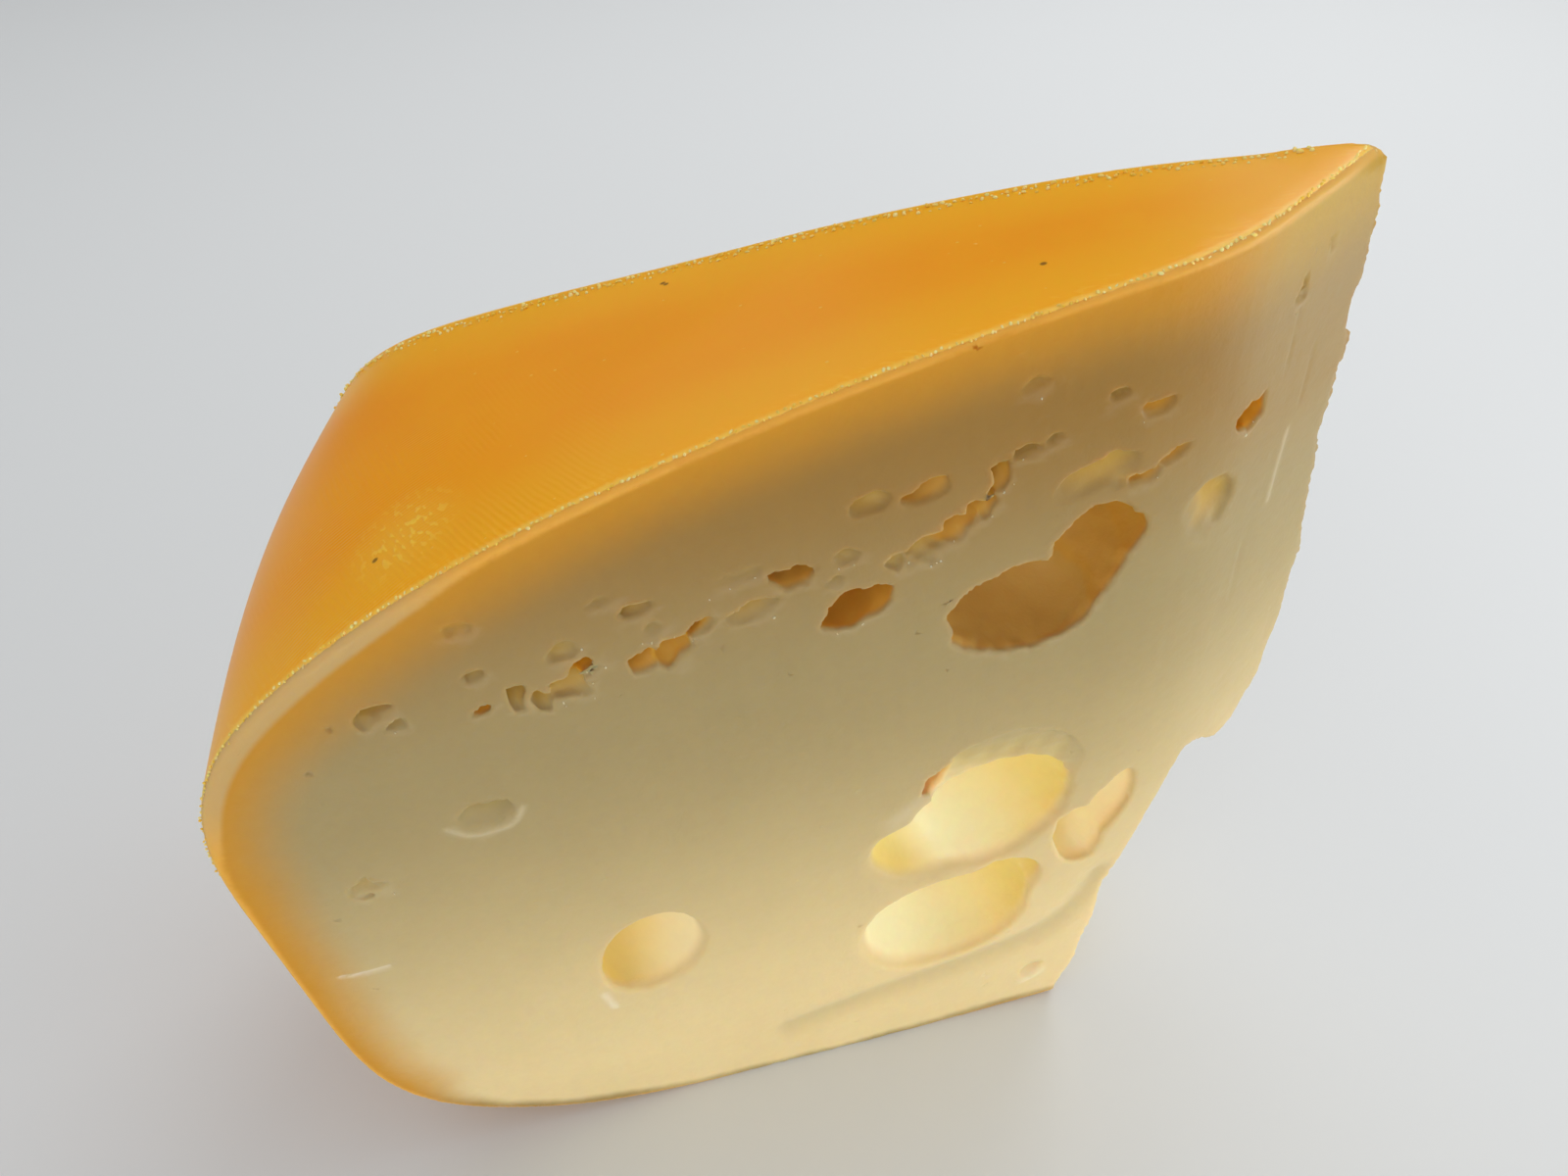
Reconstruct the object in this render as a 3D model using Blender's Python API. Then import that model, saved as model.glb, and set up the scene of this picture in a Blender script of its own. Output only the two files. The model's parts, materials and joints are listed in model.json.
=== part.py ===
"""A wedge of holey cheese with an orange coating, cut from a round wheel.

The wedge stands on the underside of its wheel, as it would on a table. The wide cut face
looks along -Y, the coated rim is at -X and the broken tip at +X. Shapes are worked out in
the wheel's own frame, with its axis at x = y = 0 and z = 0 at its underside, and are then
leaned until the slightly domed underside lies flat.
"""

import math
from dataclasses import dataclass

import bmesh
import bpy
import numpy as np
from mathutils import Matrix, Vector

NAME = "cheese_wedge"
MM = 0.001

# The wheel, from whose rim and faces the coated sides of the wedge come.
WHEEL_RADIUS = 165.0 * MM
BELLY_HEIGHT = 64.7 * MM           # height of the rim's widest ring
TOP_RISE = (56.4 * MM, 53.1 * MM)  # from the belly to the shoulder, at the near and far cut
TOP_DOME = 0.7 * MM                # further rise from the shoulder to the wheel's middle
TOP_POWER_IN = (1.81, 1.65)        # roundness of the top edge, at the near and far cut
TOP_POWER_UP = (3.19, 4.76)
TOP_SAG = (-2.6 * MM, 1.3 * MM)    # the top's dip at the far cut, as one and two half waves
SAG_START = 0.3                    # where the dip starts, as a share of the radius
RIM_PULL = -0.020                  # how much narrower the wheel is at the far cut
FOOT_POWERS = (5.66, 5.19)         # roundness of the underside's edge

# The wedge in plan. The near cut is the plane y = 0 and the far one turns away from it.
WEDGE_ANGLE = math.radians(21.3)
INNER_RADIUS = 25.0 * MM
BEND_RADIUS = 62.2 * MM            # where the near cut bends towards the tip
TIP_RADIUS = 38.9 * MM             # where the bend meets the far cut, as the tip's edge
BEND_ROUNDING = 8.6 * MM           # length of the bend to each side of its corner
TIP_ROUNDING = 2.4 * MM
MARGIN = 12.0 * MM                 # how far cutters reach past what they cut

# How the wedge settles on its slightly domed underside.
LEAN = math.radians(3.5)
FOOT_OF_TIP = -75.0 * MM

# Fineness of the faceted surfaces.
RIM_STEPS = 48
TURN_STEPS = 11


@dataclass(frozen=True)
class Eye:
    """A gas bubble's hollow, opened by a cut: an ellipsoid sunk into the cut face.

    x and z place its mouth in millimetres in the wheel's frame (on the far cut, x is minus
    the distance from the wheel's axis). wide and high are the mouth's half sizes, deep is
    the hollow's depth, turn rolls the mouth anticlockwise in degrees, and sunk says how
    far the ellipsoid's middle lies behind the face, as a share of its half depth.
    """

    x: float
    z: float
    wide: float
    high: float
    deep: float
    turn: float = 0.0
    sunk: float = 0.0


NEAR_EYES = (
    # the deep bean under the tip's shelf, in two lobes
    Eye(-79.3, 81.6, 8.3, 5.6, 11.0, 12, 0.30),
    Eye(-71.8, 86.8, 4.9, 6.8, 9.0, 14, 0.30),
    # deep ones in the crowded row
    Eye(-97.4, 88.3, 3.7, 2.6, 5.5, 14, 0.30),
    Eye(-103.2, 94.0, 2.2, 1.3, 4.0, -5, 0.25),
    Eye(-53.9, 95.9, 2.2, 1.5, 3.8, 10, 0.25),
    Eye(-118.6, 88.0, 1.7, 1.0, 2.4, 32),
    Eye(-115.6, 88.1, 1.6, 1.9, 2.2, -20),
    Eye(-131.0, 87.6, 1.0, 1.4, 1.8),
    Eye(-126.0, 87.4, 1.8, 1.5, 1.8, 10),
    Eye(-144.1, 90.1, 1.9, 1.1, 1.6, 25, -0.2),
    Eye(-118.3, 94.6, 1.8, 0.8, 1.4, 10, -0.2),
    Eye(-107.5, 91.0, 2.6, 0.9, 1.2, 15, -0.3),
    # ovals and a torn chain above the bean
    Eye(-94.6, 100.8, 2.5, 1.2, 1.5, 12, -0.3),
    Eye(-90.0, 100.5, 2.6, 1.2, 2.2, 18),
    Eye(-82.8, 100.2, 1.1, 2.0, 4.0, -25, 0.2),
    Eye(-84.2, 97.3, 1.4, 1.2, 3.0, 20, 0.1),
    Eye(-86.8, 95.4, 2.4, 1.4, 2.6, 35),
    Eye(-89.6, 93.8, 3.0, 1.3, 1.3, 20, -0.3),
    Eye(-66.8, 103.6, 1.9, 0.8, 1.6, 0, -0.1),
    Eye(-72.9, 97.0, 4.3, 2.1, 1.4, 12, -0.5),
    Eye(-62.8, 98.0, 2.1, 0.8, 1.4, 5, -0.1),
    Eye(-58.0, 89.0, 4.4, 2.6, 1.1, 0, -0.6),
    # the lower half: one round bowl and two large hollows with a thin wall between
    Eye(-138.4, 71.9, 2.9, 1.7, 1.3, -5, -0.3),
    Eye(-127.3, 38.5, 6.5, 7.8, 6.5, -20, -0.1),
    Eye(-84.7, 49.4, 12.3, 12.1, 8.0, 0, -0.25),
    Eye(-89.0, 26.9, 12.9, 9.9, 8.0, 0, -0.2),
    # the banana-shaped hollow beside the broken tip
    Eye(-70.6, 40.0, 2.9, 6.4, 5.0, -12, 0.1),
    Eye(-66.2, 45.6, 2.4, 3.8, 3.4, -45),
    Eye(-76.3, 8.0, 2.0, 1.3, 1.2, 10, -0.3),
)

FAR_EYES = (
    Eye(-82.0, 42.0, 9.5, 8.0, 6.0, 10, -0.2),
    Eye(-98.0, 31.0, 6.0, 5.0, 4.5, -15, -0.1),
    Eye(-128.0, 52.0, 5.0, 6.2, 4.5, 20),
    Eye(-72.0, 84.0, 6.4, 4.8, 6.5, -10, 0.25),
    Eye(-88.0, 92.0, 3.2, 2.2, 3.0, -15, 0.2),
    Eye(-104.0, 90.0, 2.6, 1.5, 2.2, 10),
    Eye(-117.0, 88.0, 2.2, 1.4, 2.0, -20),
    Eye(-124.0, 84.0, 1.6, 1.2, 1.6, 15),
    Eye(-60.0, 100.0, 2.2, 1.2, 1.8, -8),
    Eye(-110.0, 66.0, 2.4, 1.8, 1.6, 12, -0.2),
)

# Where the underside's inner corner broke off: from the foot, up the slanting break to a
# notch, and out below the tip. Points are (x, z) in millimetres in the wheel's frame.
BREAK_LINE = (
    (-76.0, -4.0), (-73.5, 3.0), (-70.2, 10.0), (-66.8, 27.0), (-62.8, 39.5), (-59.6, 45.6),
    (-56.0, 45.0), (-48.8, 40.2), (-42.4, 37.9), (-34.0, 37.4), (-14.0, 37.4),
)


def clear_scene() -> None:
    """Removes every object that the file already holds."""
    for item in list(bpy.data.objects):
        bpy.data.objects.remove(item, do_unlink=True)


def new_collection(name: str, parent: bpy.types.Collection) -> bpy.types.Collection:
    """Makes a collection inside another."""
    group = bpy.data.collections.new(name)
    parent.children.link(group)
    return group


def cheese_material() -> bpy.types.Material:
    """The plain finish of the solid: pale yellow, slightly waxy."""
    finish = bpy.data.materials.new(NAME)
    finish.use_nodes = True
    shader = finish.node_tree.nodes["Principled BSDF"]
    shader.inputs["Base Color"].default_value = (0.72, 0.50, 0.19, 1.0)
    shader.inputs["Roughness"].default_value = 0.45
    shader.inputs["Metallic"].default_value = 0.0
    return finish


def blend(near: float, far: float, share: float) -> float:
    """Mixes a value of the near cut with that of the far one."""
    return near + (far - near) * share


def even_steps(along: np.ndarray, up: np.ndarray, count: int) -> list[tuple[float, float]]:
    """Picks points at even distances along a finely sampled curve."""
    lengths = np.concatenate(([0.0], np.cumsum(np.hypot(np.diff(along), np.diff(up)))))
    wanted = np.linspace(0.0, lengths[-1], count)
    return list(zip(np.interp(wanted, lengths, along), np.interp(wanted, lengths, up)))


def wheel_section(share: float) -> list[tuple[float, float]]:
    """The wheel's section as (radius, height), up from the underside over the rim."""
    angles = np.linspace(0.0, math.pi / 2.0, 400)
    rise = blend(*TOP_RISE, share)
    top_radius = np.sin(angles) ** (2.0 / blend(*TOP_POWER_IN, share))
    along = np.clip((top_radius - SAG_START) / (1.0 - SAG_START), 0.0, 1.0)
    sag = TOP_SAG[0] * np.sin(math.pi * along) + TOP_SAG[1] * np.sin(2.0 * math.pi * along)
    top = BELLY_HEIGHT + rise * np.cos(angles) ** (2.0 / blend(*TOP_POWER_UP, share))
    top += TOP_DOME * (1.0 - top_radius**2) + share * sag
    foot_radius = np.sin(angles) ** (2.0 / FOOT_POWERS[0])
    foot = BELLY_HEIGHT * (1.0 - np.cos(angles) ** (2.0 / FOOT_POWERS[1]))
    radii = np.concatenate((foot_radius, top_radius[::-1][1:])) * WHEEL_RADIUS * (1.0 + RIM_PULL * share)
    heights = np.concatenate((foot, top[::-1][1:]))
    kept = radii >= INNER_RADIUS
    first, last = np.argmax(kept), len(kept) - np.argmax(kept[::-1])
    return even_steps(radii[first:last], heights[first:last], RIM_STEPS)


def settle() -> Matrix:
    """Leans the wheel's frame about the tip's foot, so that the underside lies flat."""
    foot = Vector((FOOT_OF_TIP, 0.0, 0.0))
    return Matrix.Translation(foot) @ Matrix.Rotation(LEAN, 4, "Y").inverted() @ Matrix.Translation(-foot)


def far_wall(radius: float) -> Vector:
    """A point of the far cut in plan, at a distance from the wheel's axis."""
    return radius * Vector((-math.cos(WEDGE_ANGLE), math.sin(WEDGE_ANGLE)))


def rounded_corner(before: Vector, corner: Vector, after: Vector, reach: float, steps: int) -> list[Vector]:
    """Replaces a corner of a flat outline by a smooth bend that starts reach before it."""
    start = corner + (before - corner).normalized() * reach
    end = corner + (after - corner).normalized() * reach
    shares = [step / steps for step in range(steps + 1)]
    return [start * (1 - s) ** 2 + corner * 2 * s * (1 - s) + end * s**2 for s in shares]


def wedge_plan() -> list[Vector]:
    """The wedge's outline from above, wider than the wheel at the rim."""
    start = Vector((-WHEEL_RADIUS - MARGIN, 0.0))
    bend = Vector((-BEND_RADIUS, 0.0))
    edge = far_wall(TIP_RADIUS)
    end = far_wall(WHEEL_RADIUS + MARGIN)
    outline = [start]
    outline += rounded_corner(start, bend, edge, BEND_ROUNDING, 6)
    outline += rounded_corner(bend, edge, end, TIP_ROUNDING, 5)
    outline.append(end)
    return outline


def near_wall(x: float) -> tuple[float, float]:
    """The near cut at x: its distance behind the plane y = 0, and its turn about Z."""
    outline = wedge_plan()
    for left, right in zip(outline, outline[1:]):
        if left.x <= x < right.x:
            slope = (right.y - left.y) / (right.x - left.x)
            return left.y + slope * (x - left.x), math.atan(slope)
    return 0.0, 0.0


def new_object(name: str, mesh: bpy.types.Mesh, group: bpy.types.Collection) -> bpy.types.Object:
    """Makes an object for a mesh and puts it in a collection."""
    item = bpy.data.objects.new(name, mesh)
    group.objects.link(item)
    return item


def build_sector(group: bpy.types.Collection) -> bpy.types.Object:
    """Lofts a sector of the wheel, a little wider than the wedge, between its sections."""
    spare = math.radians(5.0)
    mesh = bpy.data.meshes.new(NAME)
    shape = bmesh.new()
    lean = settle()
    rings = []
    for step in range(TURN_STEPS):
        azimuth = blend(-spare, WEDGE_ANGLE + spare, step / (TURN_STEPS - 1))
        share = min(max(azimuth / WEDGE_ANGLE, 0.0), 1.0)
        ring = []
        for radius, height in wheel_section(share):
            point = Vector((-radius * math.cos(azimuth), radius * math.sin(azimuth), height))
            leaned = lean @ point
            leaned.z = max(leaned.z, 0.0)
            ring.append(shape.verts.new(leaned))
        rings.append(ring)
    for ring, following in zip(rings, rings[1:]):
        for index in range(RIM_STEPS):
            beyond = (index + 1) % RIM_STEPS
            shape.faces.new((ring[index], ring[beyond], following[beyond], following[index]))
    shape.faces.new(rings[0])
    shape.faces.new(reversed(rings[-1]))
    bmesh.ops.recalc_face_normals(shape, faces=shape.faces)
    shape.to_mesh(mesh)
    shape.free()
    mesh.materials.append(cheese_material())
    return new_object(NAME, mesh, group)


def prism(
    name: str, outline: list[Vector], low: float, high: float, group: bpy.types.Collection
) -> bpy.types.Object:
    """Extrudes a flat outline of (x, y) points from one height to another, as a closed mesh."""
    curve = bpy.data.curves.new(name, "CURVE")
    curve.dimensions = "2D"
    curve.fill_mode = "BOTH"
    curve.extrude = (high - low) / 2.0
    line = curve.splines.new("POLY")
    line.points.add(len(outline) - 1)
    for point, place in zip(line.points, outline):
        point.co = (place.x, place.y, 0.0, 1.0)
    line.use_cyclic_u = True
    holder = bpy.data.objects.new(name + "_outline", curve)
    group.objects.link(holder)
    mesh = bpy.data.meshes.new_from_object(holder.evaluated_get(bpy.context.evaluated_depsgraph_get()))
    bpy.data.objects.remove(holder, do_unlink=True)
    shape = bmesh.new()
    shape.from_mesh(mesh)
    bmesh.ops.remove_doubles(shape, verts=shape.verts, dist=0.00001)
    bmesh.ops.translate(shape, verts=shape.verts, vec=(0.0, 0.0, (low + high) / 2.0))
    bmesh.ops.recalc_face_normals(shape, faces=shape.faces)
    shape.to_mesh(mesh)
    shape.free()
    return new_object(name, mesh, group)


def as_cutter(cutter: bpy.types.Object) -> None:
    """Marks an object as a cutter, shown as wires and never rendered."""
    cutter.hide_render = True
    cutter.display_type = "WIRE"


def cut(body: bpy.types.Object, cutter: bpy.types.Object, operation: str) -> None:
    """Adds an exact Boolean with a cutter to the body."""
    as_cutter(cutter)
    step = body.modifiers.new(cutter.name, "BOOLEAN")
    step.operation = operation
    step.solver = "EXACT"
    step.object = cutter


def cut_all(body: bpy.types.Object, cutters: bpy.types.Collection) -> None:
    """Takes every cutter of a collection out of the body in one exact Boolean."""
    for cutter in cutters.objects:
        as_cutter(cutter)
    step = body.modifiers.new(cutters.name, "BOOLEAN")
    step.operation = "DIFFERENCE"
    step.solver = "EXACT"
    step.operand_type = "COLLECTION"
    step.collection = cutters


def smooth_line(points: tuple[tuple[float, float], ...], steps: int) -> list[Vector]:
    """Runs a smooth curve through points given in millimetres."""
    knots = [Vector(point) * MM for point in points]
    knots = [2 * knots[0] - knots[1]] + knots + [2 * knots[-1] - knots[-2]]
    line = []
    for before, left, right, after in zip(knots, knots[1:], knots[2:], knots[3:]):
        for step in range(steps):
            s = step / steps
            line.append(
                left
                + (right - before) * (0.5 * s)
                + (2 * before - 5 * left + 4 * right - after) * (0.5 * s**2)
                + (3 * left - before - 3 * right + after) * (0.5 * s**3)
            )
    line.append(knots[-2])
    return line


def build_break(group: bpy.types.Collection) -> bpy.types.Object:
    """The piece that broke off below the tip, as a cutter across the whole wedge."""
    line = smooth_line(BREAK_LINE, 2)
    low = line[0].y - MARGIN
    outline = [Vector((line[0].x, low))] + line + [Vector((line[-1].x, low))]
    cutter = prism("broken_corner", outline, -2 * WHEEL_RADIUS, MARGIN, group)
    cutter.matrix_world = settle() @ Matrix.Rotation(math.pi / 2.0, 4, "X")
    return cutter


def eye_shape(eye: Eye, shape: bmesh.types.BMesh, placing: Matrix) -> None:
    """Adds one eye's ellipsoid to a mesh, its mouth in the plane that placing gives."""
    widest = max(eye.wide, eye.high)
    segments = int(min(max(8 + 2 * round(widest), 10), 26))
    spread = 1.0 / math.sqrt(1.0 - eye.sunk**2)
    half_depth = eye.deep / (1.0 + eye.sunk)
    size = Vector((eye.wide * spread, half_depth, eye.high * spread)) * MM
    middle = Vector((0.0, eye.sunk * half_depth * MM, 0.0))
    roll = Matrix.Rotation(math.radians(-eye.turn), 4, "Y")
    bmesh.ops.create_uvsphere(
        shape,
        u_segments=segments,
        v_segments=segments // 2,
        radius=1.0,
        matrix=placing @ Matrix.Translation(middle) @ roll @ Matrix.Diagonal((*size, 1.0)),
    )


def build_eyes(group: bpy.types.Collection) -> None:
    """Makes one cutter for each eye of both cut faces."""
    for number, eye in enumerate(NEAR_EYES, 1):
        behind, turn = near_wall(eye.x * MM)
        place = Matrix.Translation((eye.x * MM, behind, eye.z * MM)) @ Matrix.Rotation(turn, 4, "Z")
        eye_cutter(f"near_eye_{number:02d}", eye, place, group)
    for number, eye in enumerate(FAR_EYES, 1):
        spot = far_wall(-eye.x * MM)
        turn = Matrix.Rotation(math.pi - WEDGE_ANGLE, 4, "Z")
        place = Matrix.Translation((spot.x, spot.y, eye.z * MM)) @ turn
        eye_cutter(f"far_eye_{number:02d}", eye, place, group)


def eye_cutter(name: str, eye: Eye, placing: Matrix, group: bpy.types.Collection) -> None:
    """Makes the cutter of one eye, placed on the leaned wedge."""
    mesh = bpy.data.meshes.new(name)
    shape = bmesh.new()
    eye_shape(eye, shape, placing)
    shape.to_mesh(mesh)
    shape.free()
    new_object(name, mesh, group).matrix_world = settle()


def centre_on_footprint(body: bpy.types.Object, cutters: bpy.types.Collection) -> None:
    """Hangs everything on an empty, so that the wedge's box is centred on the origin."""
    bpy.context.view_layer.update()
    solid = body.evaluated_get(bpy.context.evaluated_depsgraph_get())
    corners = np.array([tuple(vertex.co) for vertex in solid.data.vertices])
    middle = (corners.min(axis=0) + corners.max(axis=0)) / 2.0
    anchor = bpy.data.objects.new(NAME + "_origin", None)
    bpy.context.scene.collection.objects.link(anchor)
    anchor.location = (-middle[0], -middle[1], 0.0)
    for item in [body, *cutters.all_objects]:
        item.parent = anchor


def main() -> None:
    """Builds the wedge."""
    clear_scene()
    group = new_collection(NAME, bpy.context.scene.collection)
    cutter_group = new_collection("cutters", bpy.context.scene.collection)
    eye_group = new_collection("eyes", cutter_group)
    body = build_sector(group)
    plan = prism("wedge_plan", wedge_plan(), -2 * MARGIN, 2 * WHEEL_RADIUS, cutter_group)
    plan.matrix_world = settle()
    cut(body, plan, "INTERSECT")
    cut(body, build_break(cutter_group), "DIFFERENCE")
    build_eyes(eye_group)
    cut_all(body, eye_group)
    centre_on_footprint(body, cutter_group)
    body.data.shade_smooth()
    body.data.set_sharp_from_angle(angle=math.radians(35.0))


main()
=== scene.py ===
"""A wedge of holey cheese with an orange coating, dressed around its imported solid.

The wedge's surface is the zero of a field of distances, worked out in millimetres in the
frame of the wheel that it was cut from: the wheel's axis is at x = y = 0 and its underside
at z = 0. The surface is meshed, leaned until the slightly domed underside lies flat, and
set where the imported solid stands.
"""

import sys

import json
import logging
import math
from dataclasses import dataclass, field
from enum import Enum

import bmesh
import bpy
import numpy as np
from mathutils import Euler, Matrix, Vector

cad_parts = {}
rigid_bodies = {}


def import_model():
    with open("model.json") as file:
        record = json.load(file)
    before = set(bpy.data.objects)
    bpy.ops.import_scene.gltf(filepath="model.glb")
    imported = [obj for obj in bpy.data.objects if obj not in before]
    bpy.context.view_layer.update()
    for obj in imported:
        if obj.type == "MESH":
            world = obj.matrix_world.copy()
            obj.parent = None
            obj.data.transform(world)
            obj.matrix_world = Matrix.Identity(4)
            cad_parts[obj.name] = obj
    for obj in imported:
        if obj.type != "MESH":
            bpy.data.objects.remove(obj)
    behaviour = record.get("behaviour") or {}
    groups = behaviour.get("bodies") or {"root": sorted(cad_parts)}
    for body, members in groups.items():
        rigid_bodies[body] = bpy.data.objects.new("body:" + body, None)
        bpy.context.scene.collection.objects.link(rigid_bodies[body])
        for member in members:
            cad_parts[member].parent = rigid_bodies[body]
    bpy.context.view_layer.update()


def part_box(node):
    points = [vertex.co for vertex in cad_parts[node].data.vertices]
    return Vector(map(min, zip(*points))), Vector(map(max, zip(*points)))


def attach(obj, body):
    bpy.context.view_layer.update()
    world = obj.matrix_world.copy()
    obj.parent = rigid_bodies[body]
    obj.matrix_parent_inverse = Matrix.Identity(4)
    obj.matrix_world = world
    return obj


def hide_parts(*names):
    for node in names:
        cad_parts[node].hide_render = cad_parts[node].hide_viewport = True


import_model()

log = logging.getLogger("cheese")
MM = 0.001
Colour = tuple[float, float, float, float]
Triple = tuple[float, float, float]
Span = tuple[float, float]


# ---------------------------------------------------------------- fields of distances


def smooth_max(a: np.ndarray, b: np.ndarray, reach: float) -> np.ndarray:
    """The larger of two distances, with the corner between them rounded.

    Args:
        a: One set of distances.
        b: The other set.
        reach: How far apart the two may be where the rounding starts.

    Returns:
        The rounded maximum.
    """
    overlap = np.maximum(reach - np.abs(a - b), 0.0)
    return np.maximum(a, b) + overlap * overlap / (4.0 * reach)


def ease(low: float, high: float, value: np.ndarray) -> np.ndarray:
    """Goes smoothly from 0 at low to 1 at high."""
    share = np.clip((value - low) / (high - low), 0.0, 1.0)
    return share * share * (3.0 - 2.0 * share)


@dataclass(frozen=True)
class Ripple:
    """A smooth random field: plane waves with random directions, lengths and phases."""

    seed: int
    wavelength: float
    waves: int = 10
    stretch: Triple = (1.0, 1.0, 1.0)
    height: float = 1.0

    def __call__(self, points: np.ndarray) -> np.ndarray:
        """The field's value at each point, about -2 to 2 heights and mostly within 1.

        Args:
            points: Places in millimetres, one a row.

        Returns:
            One value for each point.
        """
        dice = np.random.default_rng(self.seed)
        ways = dice.normal(size=(self.waves, 3))
        ways /= np.linalg.norm(ways, axis=1, keepdims=True)
        lengths = self.wavelength * dice.uniform(0.7, 1.5, self.waves)
        phases = dice.uniform(0.0, 2.0 * math.pi, self.waves)
        total = np.zeros(len(points))
        for way, length, phase in zip(ways, lengths, phases):
            step = way / np.array(self.stretch) * 2.0 * math.pi / length
            total += np.cos(points @ step + phase)
        return total * math.sqrt(2.0 / self.waves) * self.height


@dataclass(frozen=True)
class Table:
    """Evenly spaced samples of a function of two values, read off between them."""

    low: Span
    step: float
    values: np.ndarray

    def __call__(self, a: np.ndarray, b: np.ndarray) -> np.ndarray:
        """Reads the table at pairs of values, straight between its samples."""
        rows, columns = self.values.shape
        row = np.clip((a - self.low[0]) / self.step, 0.0, rows - 1.001)
        column = np.clip((b - self.low[1]) / self.step, 0.0, columns - 1.001)
        i, j = row.astype(np.int32), column.astype(np.int32)
        s, t = row - i, column - j
        flat, at = self.values.ravel(), i * columns + j
        near = flat[at] * (1.0 - t) + flat[at + 1] * t
        far = flat[at + columns] * (1.0 - t) + flat[at + columns + 1] * t
        return near * (1.0 - s) + far * s


def outline_table(
    line: np.ndarray, closing: np.ndarray, low: Span, high: Span, step: float
) -> Table:
    """Tabulates the distance to an open line, negative inside the area that it bounds.

    Args:
        line: The line's points, one a row.
        closing: Further points that close the line to an area; they carry no distance.
        low: The table's lowest corner.
        high: Its highest corner.
        step: The spacing of its samples.

    Returns:
        The table of signed distances.
    """
    first = np.arange(low[0], high[0] + step, step)
    second = np.arange(low[1], high[1] + step, step)
    a, b = (grid.ravel() for grid in np.meshgrid(first, second, indexing="ij"))
    gap = line_gap(np.stack((a, b), axis=1), line)
    inside = np.zeros(a.shape, bool)
    ring = np.concatenate((line, closing))
    for start, end in zip(ring, np.roll(ring, -1, axis=0)):
        if start[1] != end[1]:
            crosses = (start[1] > b) != (end[1] > b)
            reach = start[0] + (b - start[1]) * (end[0] - start[0]) / (end[1] - start[1])
            inside ^= crosses & (a < reach)
    signed = gap * np.where(inside, -1.0, 1.0)
    return Table(low, step, signed.reshape(len(first), len(second)))


def line_gap(points: np.ndarray, line: np.ndarray) -> np.ndarray:
    """The distance from flat points to a line of straight pieces.

    Args:
        points: The points, one a row.
        line: The line's points.

    Returns:
        One distance for each point.
    """
    nearest = np.full(len(points), 1e9)
    for start, end in zip(line, line[1:]):
        run = end - start
        share = np.clip(((points - start) @ run) / max(run @ run, 1e-12), 0.0, 1.0)
        gap = points - start - share[:, None] * run
        nearest = np.minimum(nearest, (gap**2).sum(axis=1))
    return np.sqrt(nearest)


def smooth_line(points: np.ndarray, steps: int) -> np.ndarray:
    """Runs a smooth curve through points.

    Args:
        points: The points to pass through, one a row.
        steps: How many pieces each stretch between two points gets.

    Returns:
        The curve's points.
    """
    knots = np.concatenate(([2 * points[0] - points[1]], points, [2 * points[-1] - points[-2]]))
    shares = (np.arange(steps) / steps)[:, None]
    line = []
    for before, left, right, after in zip(knots, knots[1:], knots[2:], knots[3:]):
        line.append(
            left
            + (right - before) * 0.5 * shares
            + (2 * before - 5 * left + 4 * right - after) * 0.5 * shares**2
            + (3 * left - before - 3 * right + after) * 0.5 * shares**3
        )
    return np.concatenate(line + [points[-1:]])


# ------------------------------------------------------------------------ the wheel


@dataclass(frozen=True)
class Wheel:
    """The wheel of cheese: its section at the near cut and at the far one, in millimetres."""

    radius: float = 165.0
    belly: float = 64.7
    rise: Span = (56.4, 53.1)
    dome: float = 0.7
    power_in: Span = (1.81, 1.65)
    power_up: Span = (3.19, 4.76)
    sag: Span = (-2.6, 1.3)
    sag_start: float = 0.3
    pull: float = -0.020
    foot_powers: Span = (5.66, 5.19)
    table_low: Span = (20.0, -12.0)
    table_high: Span = (174.0, 128.0)
    table_step: float = 0.5

    def section(self, share: float, count: int = 700) -> np.ndarray:
        """The section's outline at a share of the way from the near cut to the far one.

        Args:
            share: 0 at the near cut, 1 at the far one.
            count: How many points each half of the outline has.

        Returns:
            Rows of radius and height, from the underside's middle over the rim to the top's.
        """
        angles = np.linspace(0.0, math.pi / 2.0, count)
        pairs = (self.power_in, self.power_up, self.rise)
        power_in, power_up, rise = (near + (far - near) * share for near, far in pairs)
        top_radius = np.sin(angles) ** (2.0 / power_in)
        along = np.clip((top_radius - self.sag_start) / (1.0 - self.sag_start), 0.0, 1.0)
        sag = self.sag[0] * np.sin(math.pi * along) + self.sag[1] * np.sin(2.0 * math.pi * along)
        top = self.belly + rise * np.cos(angles) ** (2.0 / power_up)
        top += self.dome * (1.0 - top_radius**2) + share * sag
        foot_radius = np.sin(angles) ** (2.0 / self.foot_powers[0])
        foot = self.belly * (1.0 - np.cos(angles) ** (2.0 / self.foot_powers[1]))
        reach = self.radius * (1.0 + self.pull * share)
        radii = np.concatenate((foot_radius, top_radius[::-1][1:])) * reach
        heights = np.concatenate((foot, top[::-1][1:]))
        ends = np.concatenate(([0.0], np.cumsum(np.hypot(np.diff(radii), np.diff(heights)))))
        even = np.linspace(0.0, ends[-1], count)
        return np.stack((np.interp(even, ends, radii), np.interp(even, ends, heights)), axis=1)

    def table(self, share: float) -> Table:
        """The signed distance to the section, by radius and height."""
        line = self.section(share)
        closing = np.array([[0.0, line[-1, 1]], [0.0, 0.0]])
        return outline_table(line, closing, self.table_low, self.table_high, self.table_step)


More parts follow.
